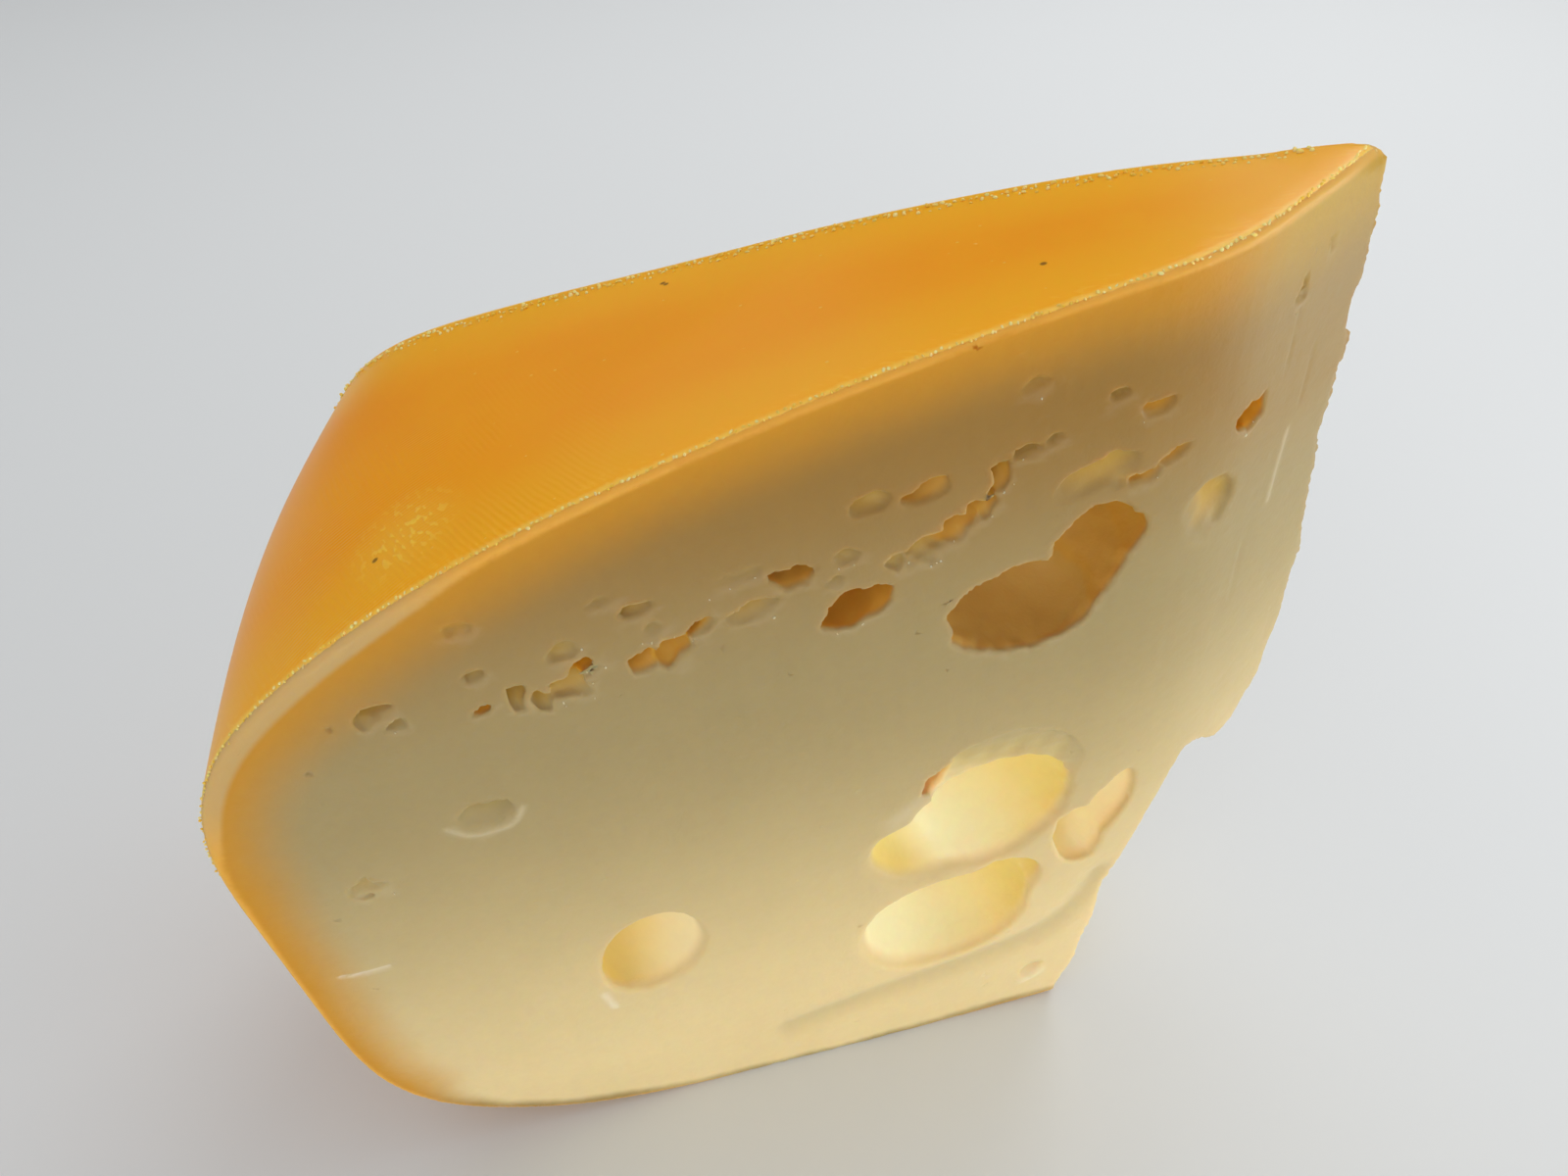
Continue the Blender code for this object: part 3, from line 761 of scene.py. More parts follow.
@dataclass(frozen=True)
class Mesher:
    """Turns the zero of a field into a closed mesh of quads, on a grid of small cells."""

    low: Triple
    high: Triple
    step: float = 0.45
    block: int = 4
    band: float = 1.3
    chunk: int = 60000
    tick: float = 0.02
    least_slope: float = 0.25
    longest: float = 0.3

    def evaluate(self, form: WedgeForm, points: np.ndarray) -> np.ndarray:
        """Reads the field at many points, a chunk at a time."""
        starts = range(0, len(points), self.chunk)
        return np.concatenate([form.whole(points[at : at + self.chunk]) for at in starts])

    def sample(self, form: WedgeForm) -> np.ndarray:
        """Samples the field on the fine grid, in full only near its zero.

        Args:
            form: The field.

        Returns:
            The samples, as a three-dimensional grid.
        """
        size = self.step * self.block
        counts = [int(math.ceil((b - a) / size)) for a, b in zip(self.low, self.high)]
        axes = [a + size * (np.arange(n) + 0.5) for a, n in zip(self.low, counts)]
        centres = np.stack(np.meshgrid(*axes, indexing="ij"), axis=-1).reshape(-1, 3)
        coarse = self.evaluate(form, centres)
        near = np.flatnonzero(np.abs(coarse) < size * self.band)
        inner = (np.arange(self.block) + 0.5) * self.step - size / 2.0
        offsets = np.stack(np.meshgrid(inner, inner, inner, indexing="ij"), axis=-1).reshape(-1, 3)
        fine = np.repeat(coarse[:, None], self.block**3, axis=1).astype(np.float32)
        points = (centres[near][:, None, :] + offsets[None]).reshape(-1, 3)
        fine[near] = self.evaluate(form, points).reshape(len(near), -1)
        log.info("field: %d of %d blocks lie near the surface", len(near), len(coarse))
        grid = fine.reshape(*counts, self.block, self.block, self.block)
        return grid.transpose(0, 3, 1, 4, 2, 5).reshape([n * self.block for n in counts])

    def nets(self, grid: np.ndarray) -> tuple[np.ndarray, np.ndarray]:
        """Lays one vertex in each cell that the surface passes, and joins them by quads.

        Args:
            grid: The field's samples.

        Returns:
            The vertices in millimetres, and the quads, wound to face outwards.
        """
        inside = grid < 0.0
        cells = tuple(n - 1 for n in grid.shape)
        count = np.zeros(cells, np.int8)
        corners = [(i, j, k) for i in (0, 1) for j in (0, 1) for k in (0, 1)]
        for i, j, k in corners:
            count += inside[i : i + cells[0], j : j + cells[1], k : k + cells[2]]
        at = np.argwhere((count > 0) & (count < 8))
        index = np.full(cells, -1, np.int32)
        index[tuple(at.T)] = np.arange(len(at))
        total = np.zeros((len(at), 3))
        number = np.zeros(len(at))
        for axis in range(3):
            for start in corners:
                if start[axis] == 1:
                    continue
                one = at + np.array(start)
                other = one.copy()
                other[:, axis] += 1
                a, b = grid[tuple(one.T)], grid[tuple(other.T)]
                crossed = (a < 0.0) != (b < 0.0)
                share = a[crossed] / (a[crossed] - b[crossed])
                place = np.tile(np.array(start, float), (len(share), 1))
                place[:, axis] += share
                total[crossed] += place
                number[crossed] += 1.0
        vertices = np.array(self.low) + self.step * (at + total / number[:, None] + 0.5)
        return vertices, self.quads(inside, index)

    def quads(self, inside: np.ndarray, index: np.ndarray) -> np.ndarray:
        """Joins the four cells around each grid edge that the surface crosses."""
        faces = []
        for axis in range(3):
            head = [slice(1, -1)] * 3
            tail = [slice(1, -1)] * 3
            head[axis], tail[axis] = slice(0, -1), slice(1, None)
            first, second = inside[tuple(head)], inside[tuple(tail)]
            at = np.argwhere(first != second) + (np.arange(3) != axis)
            leaving = inside[tuple(at.T)]
            one, two = (axis + 1) % 3, (axis + 2) % 3
            around = []
            for back_one, back_two in ((1, 1), (0, 1), (0, 0), (1, 0)):
                cell = at.copy()
                cell[:, one] -= back_one
                cell[:, two] -= back_two
                around.append(index[tuple(cell.T)])
            quads = np.stack(around, axis=1)
            quads[~leaving] = quads[~leaving][:, ::-1]
            faces.append(quads)
        return np.concatenate(faces)

    def settle(self, form: WedgeForm, vertices: np.ndarray, rounds: int = 2) -> np.ndarray:
        """Moves vertices onto the field's zero, down its slope."""
        for _ in range(rounds):
            here = self.evaluate(form, vertices)
            ahead = [self.evaluate(form, vertices + self.tick * way) for way in np.eye(3)]
            slope = (np.stack(ahead, axis=1) - here[:, None]) / self.tick
            step = here / np.maximum((slope**2).sum(axis=1), self.least_slope)
            step = np.clip(step, -self.longest, self.longest)
            vertices = vertices - step[:, None] * slope
        return vertices


# ------------------------------------------------------------------ objects


def stood(name: str, data: bpy.types.ID) -> bpy.types.Object:
    """A new object with that data, linked to the scene."""
    piece = bpy.data.objects.new(name, data)
    bpy.context.scene.collection.objects.link(piece)
    return piece


def applied(holder: bpy.types.Object, name: str) -> bpy.types.Mesh:
    """The mesh that an object's modifiers make of it; the object itself is removed."""
    graph = bpy.context.evaluated_depsgraph_get()
    mesh = bpy.data.meshes.new_from_object(holder.evaluated_get(graph))
    mesh.name = name
    bpy.data.objects.remove(holder, do_unlink=True)
    return mesh


# ----------------------------------------------------------------- shader workbench


class Wire:
    """A node's output that can be reckoned with: each operator adds a Math node."""

    def __init__(self, bench: "Bench", socket: bpy.types.NodeSocket) -> None:
        """Keeps the output and the bench that its node stands on."""
        self.bench = bench
        self.socket = socket

    def reckon(self, operation: str, *values: "Wire | float") -> "Wire":
        """Adds a Math node of that operation, with its inputs in order."""
        return self.bench.wire("ShaderNodeMath", {"operation": operation}, dict(enumerate(values)))

    def __add__(self, other: "Wire | float") -> "Wire":
        """Sum."""
        return self.reckon("ADD", self, other)

    __radd__ = __add__

    def __sub__(self, other: "Wire | float") -> "Wire":
        """Difference."""
        return self.reckon("SUBTRACT", self, other)

    def __rsub__(self, other: "Wire | float") -> "Wire":
        """Difference from a number."""
        return self.reckon("SUBTRACT", other, self)

    def __mul__(self, other: "Wire | float") -> "Wire":
        """Product."""
        return self.reckon("MULTIPLY", self, other)

    __rmul__ = __mul__

    def __truediv__(self, other: "Wire | float") -> "Wire":
        """Quotient."""
        return self.reckon("DIVIDE", self, other)

    def __rtruediv__(self, other: "Wire | float") -> "Wire":
        """Quotient of a number."""
        return self.reckon("DIVIDE", other, self)

    def __pow__(self, other: float) -> "Wire":
        """Power."""
        return self.reckon("POWER", self, other)

    def sine(self) -> "Wire":
        """Sine, of radians."""
        return self.reckon("SINE", self)

    def larger(self, other: "Wire | float") -> "Wire":
        """The larger of two values."""
        return self.reckon("MAXIMUM", self, other)

    def ease(self, low: float, high: float) -> "Wire":
        """Goes smoothly from 0 at low to 1 at high."""
        settings = {"interpolation_type": "SMOOTHSTEP", "clamp": True}
        links = {"Value": self, "From Min": low, "From Max": high}
        return self.bench.wire("ShaderNodeMapRange", settings, links)


class Bench:
    """A node tree under work, with one method that makes any node and one that wires it on."""

    def __init__(self, tree: bpy.types.NodeTree) -> None:
        """Empties the tree to build on."""
        self.tree = tree
        tree.nodes.clear()

    def node(
        self, kind: str, settings: dict | None = None, links: dict | None = None
    ) -> bpy.types.Node:
        """Makes a node.

        Args:
            kind: The node's type.
            settings: Its settings, which are set first.
            links: A value or a wire for each of its inputs, by name or number.

        Returns:
            The node.
        """
        node = self.tree.nodes.new(kind)
        for name, value in (settings or {}).items():
            setattr(node, name, value)
        for key, value in (links or {}).items():
            if isinstance(value, Wire):
                self.tree.links.new(value.socket, node.inputs[key])
            else:
                node.inputs[key].default_value = value
        return node

    def wire(
        self,
        kind: str,
        settings: dict | None = None,
        links: dict | None = None,
        output: int | str = 0,
    ) -> Wire:
        """Makes a node in the same way and takes one of its outputs."""
        return Wire(self, self.node(kind, settings, links).outputs[output])

    def vectors(self, operation: str, first: "Wire | Triple", second: "Wire | Triple") -> Wire:
        """Reckons with two vectors."""
        output = "Value" if operation in ("DISTANCE", "DOT_PRODUCT") else "Vector"
        settings = {"operation": operation}
        return self.wire("ShaderNodeVectorMath", settings, {0: first, 1: second}, output)


class FinishBench(Bench):
    """The node tree of a material or a world."""

    def __init__(self, owner: bpy.types.Material | bpy.types.World) -> None:
        """Empties the owner's node tree to build on."""
        self.owner = owner
        owner.use_nodes = True
        super().__init__(owner.node_tree)

    def attribute(self, name: str) -> Wire:
        """The mesh's own value of that name."""
        settings = {"attribute_type": "GEOMETRY", "attribute_name": name}
        return self.wire("ShaderNodeAttribute", settings, output="Fac")

    def place(self) -> Wire:
        """The place on the object, in metres."""
        return self.wire("ShaderNodeTexCoord", output="Object")

    def along(self, way: Triple) -> Wire:
        """How closely a world is looked at along a direction, from 0 to 1."""
        looked = self.wire("ShaderNodeTexCoord", output="Generated")
        return self.vectors("DOT_PRODUCT", looked, way).larger(0.0)

    def noise(self, place: Wire, size: float, detail: float = 2.0) -> Wire:
        """Cloudy noise from 0 to 1.

        Args:
            place: Where it is read.
            size: The size of its clouds in metres.
            detail: How many finer layers it has.

        Returns:
            The noise.
        """
        links = {"Vector": place, "Scale": 1.0 / size, "Detail": detail}
        return self.wire("ShaderNodeTexNoise", None, links, "Fac")

    def cells(self, place: Wire, size: float) -> Wire:
        """The distance to the nearest of many scattered points, as a share of their spacing."""
        links = {"Vector": place, "Scale": 1.0 / size}
        return self.wire("ShaderNodeTexVoronoi", None, links, "Distance")

    def gap(self, place: Wire, point: Triple) -> Wire:
        """The distance to a point, in metres."""
        return self.vectors("DISTANCE", place, point)

    def joined(self, x: Wire | float, y: Wire | float, z: Wire | float) -> Wire:
        """A vector of three values."""
        return self.wire("ShaderNodeCombineXYZ", None, {0: x, 1: y, 2: z})

    def mix(self, first: "Wire | Colour", second: "Wire | Colour", share: Wire | float) -> Wire:
        """Goes from one colour to another.

        Args:
            first: The colour at share 0.
            second: The colour at share 1.
            share: How much of the second one there is.

        Returns:
            The mixed colour.
        """
        settings = {"data_type": "RGBA", "clamp_factor": True}
        return self.wire("ShaderNodeMix", settings, {0: share, 6: first, 7: second}, 2)

    def shade(self, colour: Wire, value: Wire | float) -> Wire:
        """A colour made lighter or darker by a factor."""
        return self.vectors("MULTIPLY", colour, self.joined(value, value, value))

    def bump(self, height: Wire, distance: float) -> Wire:
        """Relief on the surface, of that height in metres."""
        return self.wire("ShaderNodeBump", None, {"Height": height, "Distance": distance})

    def finish(self, links: dict) -> bpy.types.Material:
        """Ends the tree in one Principled shader.

        Args:
            links: A value or a wire for each of the shader's inputs.

        Returns:
            The material.
        """
        shader = self.node("ShaderNodeBsdfPrincipled", {"subsurface_method": "RANDOM_WALK"}, links)
        output = self.node("ShaderNodeOutputMaterial")
        self.tree.links.new(shader.outputs[0], output.inputs[0])
        return self.owner


class ShapeBench(Bench):
    """A tree of geometry nodes with named inputs, used once to make one plain mesh."""

    def __init__(self, name: str) -> None:
        """Starts a tree that takes in one shape."""
        super().__init__(bpy.data.node_groups.new(name, "GeometryNodeTree"))
        for way in ("INPUT", "OUTPUT"):
            self.tree.interface.new_socket("Shape", in_out=way, socket_type="NodeSocketGeometry")
        self.entry = self.node("NodeGroupInput")
        self.values: dict[str, float | int] = {}

    def shape(self) -> Wire:
        """The shape that comes in."""
        return Wire(self, self.entry.outputs["Shape"])

    def dial(self, name: str, value: float | int) -> Wire:
        """Adds a named input with the value that it is given.

        Args:
            name: The input's name.
            value: Its value: a whole number makes an input of whole numbers.

        Returns:
            The input, to be wired on.
        """
        kind = "NodeSocketInt" if isinstance(value, int) else "NodeSocketFloat"
        item = self.tree.interface.new_socket(name, in_out="INPUT", socket_type=kind)
        self.values[item.identifier] = value
        return Wire(self, self.entry.outputs[name])

    def vector(self, low: Triple, high: Triple, seed: Wire) -> Wire:
        """A random vector for each thing."""
        links = {0: low, 1: high, "Seed": seed}
        return self.wire("FunctionNodeRandomValue", {"data_type": "FLOAT_VECTOR"}, links)

    def strewn(self, points: Wire, grain: Wire, small: Triple, large: Triple, seed: Wire) -> Wire:
        """Sets a grain on each point, turned and stretched at random.

        Args:
            points: The points.
            grain: The shape that is set on them.
            small: The least scale along each of its axes.
            large: The largest.
            seed: The seed of the turns and scales.

        Returns:
            The grains.
        """
        half_turn = 3.1
        turned = self.vector((-half_turn,) * 3, (half_turn,) * 3, seed)
        grown = self.vector(small, large, seed)
        links = {"Points": points, "Instance": grain, "Rotation": turned, "Scale": grown}
        return self.wire("GeometryNodeInstanceOnPoints", None, links)

    def made(
        self, source: bpy.types.Mesh, shape: Wire, finish: bpy.types.Material
    ) -> bpy.types.Object:
        """Ends the tree and runs it on a source mesh.

        Args:
            source: The mesh that goes in.
            shape: What comes out of the nodes.
            finish: Its material.

        Returns:
            The finished piece, a plain mesh of the tree's name.
        """
        name = self.tree.name
        real = self.wire("GeometryNodeRealizeInstances", None, {0: shape})
        dressed = self.node("GeometryNodeSetMaterial", None, {"Geometry": real})
        dressed.inputs["Material"].default_value = finish
        self.node("NodeGroupOutput", None, {0: Wire(self, dressed.outputs[0])})
        holder = stood(name + "_source", source)
        step = holder.modifiers.new("made", "NODES")
        step.node_group = self.tree
        for identifier, value in self.values.items():
            step[identifier] = value
        mesh = applied(holder, name)
        mesh.shade_smooth()
        return stood(name, mesh)


# ------------------------------------------------------------------------- finishes


class Readings:
    """What the cheese's finish reads at each place: the mesh's own values, and noises.

    The mesh carries rind (depth below the coated surface), cut (depth below the cut faces),
    pit (depth inside an eye), below_top, around and over (places along the coating), all in
    millimetres, and from 0 to 1 rim and tip (how close the wheel's rim and the wedge's tip
    are), lip (the torn lips of the eyes, which get a painted highlight), undercut (their walls
    that lean over, which get painted shade), warm (how much painted orange shade their walls
    get) and pale (marks that whiten the paste, or lay painted shade along a crease below 0).
    """

    def __init__(self, bench: FinishBench, glinting: Triple) -> None:
        """Reads each value once, and the distance to the place that glints."""
        self.place = bench.place()
        self.spot = bench.gap(self.place, glinting)
        self.rind, self.cut = bench.attribute("rind"), bench.attribute("cut")
        self.pit, self.below = bench.attribute("pit"), bench.attribute("below_top")
        self.around, self.over = bench.attribute("around"), bench.attribute("over")
        self.rim, self.tip = bench.attribute("rim"), bench.attribute("tip")
        self.lip, self.pale = bench.attribute("lip"), bench.attribute("pale")
        self.undercut, self.warm = bench.attribute("undercut"), bench.attribute("warm")
        self.grain = bench.noise(self.place, 0.0006, 3.0)
        self.fine = bench.noise(self.place, 0.0012)
        self.clouds = bench.noise(self.place, 0.009, 3.0)
        self.patches = bench.noise(self.place, 0.011)
        self.broad = bench.noise(self.place, 0.03)


@dataclass(frozen=True)
class CheeseFinish:
    """Pale yellow paste that turns orange towards the rind, under a glossy orange coating, with
    painted light and shade on the cut face and in the eyes.
    """

    heart: Colour = (0.79, 0.625, 0.32, 1.0)
    middle: Colour = (0.372, 0.288, 0.133, 1.0)
    outer: Colour = (0.315, 0.178, 0.043, 1.0)
    under_rind: Colour = (0.585, 0.275, 0.022, 1.0)
    pit_high_shaded: Colour = (0.60, 0.43, 0.15, 1.0)
    pit_low_lit: Colour = (1.0, 0.85, 0.50, 1.0)
    pit_undercut_shade: Colour = (0.44, 0.315, 0.075, 1.0)
    pit_shade: Colour = (0.84, 0.65, 0.19, 1.0)
    pit_orange_shade: Colour = (0.63, 0.285, 0.014, 1.0)
    coating: Colour = (0.92, 0.345, 0.002, 1.0)
    coating_deep: Colour = (0.90, 0.315, 0.002, 1.0)
    coating_near_cuts: Colour = (0.93, 0.415, 0.007, 1.0)
    fringe: Colour = (0.95, 0.60, 0.10, 1.0)
    cut_edge: Colour = (0.80, 0.43, 0.08, 1.0)
    rim_edge: Colour = (0.57, 0.415, 0.19, 1.0)
    foot: Colour = (0.27, 0.185, 0.055, 1.0)
    tip_paste: Colour = (0.50, 0.325, 0.055, 1.0)
    sheen: Colour = (0.82, 0.60, 0.37, 1.0)
    glint: Colour = (1.0, 0.56, 0.05, 1.0)
    pale_and_lip_highlight: Colour = (0.88, 0.80, 0.62, 1.0)
    glinting: Triple = (-0.0388, -0.0199, 0.0986)
    specks: tuple[Triple, ...] = (
        (-0.0092, 0.0068, 0.1053),
        (-0.0417, -0.0213, 0.0972),
        (-0.0089, 0.0062, 0.1053),
        (0.0218, -0.0209, 0.1159),
    )

    dab_size: float = 0.00075
    dot_spacing: float = 0.0031
    rib_way: Span = (0.445, 0.895)
    rib_pitch: float = 0.75
    dash_way: Span = (-0.949, 0.316)
    dash_pitch: float = 0.6
    print_share: float = 0.16
    relief_height: float = 0.00012

    def make(self) -> bpy.types.Material:
        """Builds the material."""
        bench = FinishBench(bpy.data.materials.new("cheese_finish"))
        read = Readings(bench, self.glinting)
        dabs, dots = self.dabs(bench, read), self.dots(bench, read)
        side = read.cut - read.rind + (read.grain - 0.5) * 0.5
        on_skin = side.ease(0.1, 0.35) * read.rind.ease(0.9, 0.5)
        # The yellow fringe beside the coating's cut edge is partly the coating's own edge and
        # partly a painted highlight along its crest.
        coating = bench.mix(self.fringe, self.coat(bench, read, dabs, dots), side.ease(0.3, 1.3))
        paste = self.edged(bench, read, self.paste(bench, read), side)
        return bench.finish(
            {
                "Base Color": bench.mix(paste, coating, on_skin),
                "Roughness": on_skin * -0.12 + 0.46,
                "Specular IOR Level": 0.11,
                "Coat Weight": on_skin * 0.05,
                "Coat Roughness": 0.2,
                "Subsurface Weight": 0.7,
                "Subsurface Radius": (1.0, 0.55, 0.22),
                "Subsurface Scale": 0.0022,
                "Normal": self.relief(bench, read, dabs + dots, on_skin),
            }
        )

    def paste(self, bench: FinishBench, read: Readings) -> Wire:
        """The paste's colour: orange near the rind and darker towards the top, partly its own tone
        and partly painted shade, with painted light and shade in an eye.

        Args:
            bench: The material's bench.
            read: What the finish reads.

        Returns:
            The colour.
        """
        low = read.below.ease(96.0, 112.0) * (1.0 - read.rim)
        tail = read.tip.ease(0.4, 1.0)
        # Darker towards the top: partly the paste's own tone under the top rind, partly painted
        # shade on the upper face and painted light low down.
        inward = read.below.ease(12.0, 42.0).larger(tail * 0.5)
        paste = bench.mix(self.outer, self.middle, inward)
        paste = bench.mix(paste, self.heart, read.below.ease(38.0, 108.0))
        skin = bench.mix(self.under_rind, self.tip_paste, tail * 0.85)
        # The foot's dark band is partly the underside rind's own edge, partly painted shade under
        # the rounded bottom edge.
        paste = bench.mix(bench.mix(skin, self.foot, low), paste, self.share(read, low))
        # Eyes take the hollow's painted light and shade; warm walls take the painted orange shade
        # farther out from their depths.
        inside = (read.pit * (read.warm * 2.0 + 1.0)).ease(0.2, 2.2)
        paste = bench.mix(paste, self.hollow(bench, read), inside)
        # A painted highlight on the torn lips of the eyes, and the own whitening of the pale
        # marks.
        paste = bench.mix(paste, self.pale_and_lip_highlight, (read.lip * 0.05).larger(read.pale * 0.6))
        # Painted shade along the crease, where pale is below 0.
        paste = bench.shade(paste, 1.0 - (0.0 - read.pale).larger(0.0) * 0.35)
        return bench.shade(paste, (read.clouds - 0.5) * 0.08 + (read.fine - 0.5) * 0.05 + 1.0)

    def share(self, read: Readings, low: Wire) -> Wire:
        """How little the rind's colour reaches: farther in at rim and tip, less at the foot."""
        depth = read.rind + (read.clouds - 0.5) * 2.0
        reach = read.rim * 0.2 + read.tip * 0.5 + 1.0
        return (depth * (low * 2.6 + 1.0) / reach).ease(0.0, 9.0)

    def hollow(self, bench: FinishBench, read: Readings) -> Wire:
        """The colour in an eye: painted light in the lower ones, painted shade in the upper ones
        and on walls that lean over, and painted orange shade on warm walls.
        """
        lower = read.below.ease(45.0, 70.0)
        open_wall = bench.mix(self.pit_high_shaded, self.pit_low_lit, lower)
        under = bench.mix(self.pit_undercut_shade, self.pit_shade, lower)
        hollow = bench.mix(open_wall, under, read.undercut * 0.9)
        return bench.mix(hollow, self.pit_orange_shade, read.warm)

    def edged(self, bench: FinishBench, read: Readings, paste: Wire, side: Wire) -> Wire:
        """Adds the line that the coating's cut edge draws along the paste.

        Args:
            bench: The material's bench.
            read: What the finish reads.
            paste: The paste's colour.
            side: How far the edge is, in millimetres, above 0 on the coating.

        Returns:
            The paste's colour with the line on it.
        """
        tinted = read.rim.ease(0.55, 0.95).larger(read.tip * 0.3)
        width = read.rim.ease(0.5, 1.0) * 1.8 + read.tip * 0.8 + (read.patches - 0.5) * 2.0
        depth = read.rind - read.rim * 1.4 - read.tip * 0.8
        band = (side + width).ease(-1.6, -0.4) * depth.ease(1.2, 0.4)
        return bench.mix(paste, bench.mix(self.cut_edge, self.rim_edge, tinted), band * 0.75)

    def coat(self, bench: FinishBench, read: Readings, dabs: Wire, dots: Wire) -> Wire:
        """The coating's colour, with its dots, painted streaks of sheen, painted glare and dark
        specks.

        Args:
            bench: The material's bench.
            read: What the finish reads.
            dabs: The dabs of glare.
            dots: The small pale dots.

        Returns:
            The colour.
        """
        coating = bench.mix(self.coating_deep, self.coating, read.broad.ease(0.35, 0.65))
        # Lighter and more yellow towards the cut faces.
        coating = bench.mix(self.coating_near_cuts, coating, read.cut.ease(2.0, 16.0))
        coating = bench.mix(coating, self.fringe, dots * 0.55)
        # Painted sheen: pale streaks low on the far side of the rim.
        drawn_out = bench.joined(read.around * 0.001, read.over * 0.0001, 0.0)
        streaks = bench.noise(drawn_out, 0.0016, 3.0).ease(0.35, 0.75)
        painted_sheen = read.over.ease(34.0, 12.0) * read.around.ease(8.0, 40.0) * streaks
        coating = bench.mix(coating, self.sheen, painted_sheen * 0.4)
        coating = bench.mix(coating, self.glint, dabs.larger(read.spot.ease(0.008, 0.0) * 0.3))
        dark = sum(bench.gap(read.place, speck).ease(0.00042, 0.0002) for speck in self.specks)
        return bench.shade(coating, 1.0 - dark * 0.7)

    def dabs(self, bench: FinishBench, read: Readings) -> Wire:
        """Small slanted dabs of glare: many where the coating glints, fewer along its edge."""
        along = read.around * 0.00045 + read.over * 0.0009
        across = (read.over * 0.00045 - read.around * 0.0009) * 0.4
        dabs = bench.noise(bench.joined(along, across, 0.0), self.dab_size, 1.0).ease(0.53, 0.64)
        at_edge = read.cut.ease(3.5, 1.0) * read.patches.ease(0.3, 0.5) * 0.3
        return dabs * (read.spot.ease(0.0075, 0.002) + at_edge)

    def dots(self, bench: FinishBench, read: Readings) -> Wire:
        """Scattered small pale dots in the coating."""
        cells = bench.cells(read.place, self.dot_spacing)
        return cells.ease(0.07, 0.03) * read.broad.ease(0.35, 0.5)

    def relief(self, bench: FinishBench, read: Readings, marks: Wire, on_skin: Wire) -> Wire:
        """The fine relief of paste and coating.

        Args:
            bench: The material's bench.
            read: What the finish reads.
            marks: The coating's dabs and dots.
            on_skin: How far a place is coated, from 0 to 1.

        Returns:
            The surface's normal.
        """
        printed = self.weave(bench, read) * (read.spot.ease(0.030, 0.008) * 0.9 + 0.1)
        coating = printed + marks * 0.25 + read.clouds * 0.5
        paste = read.grain * 0.4 + read.clouds * 1.2
        return bench.bump(paste * (1.0 - on_skin) + coating * on_skin, self.relief_height)

    def weave(self, bench: FinishBench, read: Readings) -> Wire:
        """The print of a fine cloth in the coating, strongest on the shoulder.

        Args:
            bench: The material's bench.
            read: What the finish reads.

        Returns:
            The print's height, as a share of the relief.
        """
        over, patches = read.over, read.patches
        wander = (bench.noise(read.place, 0.004) - 0.5) * 5.0
        ribs = self.stripes(read, self.rib_way, self.rib_pitch, wander) * patches.ease(0.40, 0.62)
        dashes = self.stripes(read, self.dash_way, self.dash_pitch, wander)
        dashes = dashes * patches.ease(0.60, 0.4) * over.ease(64.0, 46.0)
        on_shoulder = over.ease(24.0, 40.0) * (1.0 - over.ease(64.0, 88.0) * 0.8)
        return (ribs + dashes) * on_shoulder * self.print_share

    def stripes(self, read: Readings, way: Span, pitch: float, wander: Wire) -> Wire:
        """Even stripes that follow each other along a direction, pitched in millimetres."""
        turn = 2.0 * math.pi / pitch
        return (read.around * (way[0] * turn) + read.over * (way[1] * turn) + wander).sine()


@dataclass(frozen=True)
class GrainFinish:
    """Small, slightly see-through grains in two tints."""

    name: str
    deep: Colour
    light: Colour
    patch: float
    all_light: float
    roughness: float
    specular: float
    radius: Triple

    def make(self) -> bpy.types.Material:
        """Builds the material."""
        bench = FinishBench(bpy.data.materials.new(self.name))
        share = bench.noise(bench.place(), self.patch).ease(0.35, self.all_light)
        return bench.finish(
            {
                "Base Color": bench.mix(self.deep, self.light, share),
                "Roughness": self.roughness,
                "Specular IOR Level": self.specular,
                "Subsurface Weight": 0.6,
                "Subsurface Radius": self.radius,
                "Subsurface Scale": 0.001,
            }
        )


BEAD_FINISH = GrainFinish(
    "bead_finish", (0.92, 0.50, 0.06, 1.0), (1.0, 0.74, 0.28, 1.0), patch=0.002,
    all_light=0.6, roughness=0.3, specular=0.25, radius=(1.0, 0.55, 0.22),
)
CRUMB_FINISH = GrainFinish(
    "crumb_finish", (0.56, 0.44, 0.22, 1.0), (0.80, 0.70, 0.44, 1.0), patch=0.003,
    all_light=0.65, roughness=0.45, specular=0.3, radius=(1.0, 0.7, 0.4),
)


@dataclass(frozen=True)
class FloorFinish:
    """A plain pale floor."""

    colour: Colour = (0.74, 0.76, 0.77, 1.0)

    def make(self) -> bpy.types.Material:
        """Builds the material."""
        bench = FinishBench(bpy.data.materials.new("floor_finish"))
        return bench.finish({"Base Color": self.colour, "Roughness": 0.6})


# ---------------------------------------------------------------------- the wedge


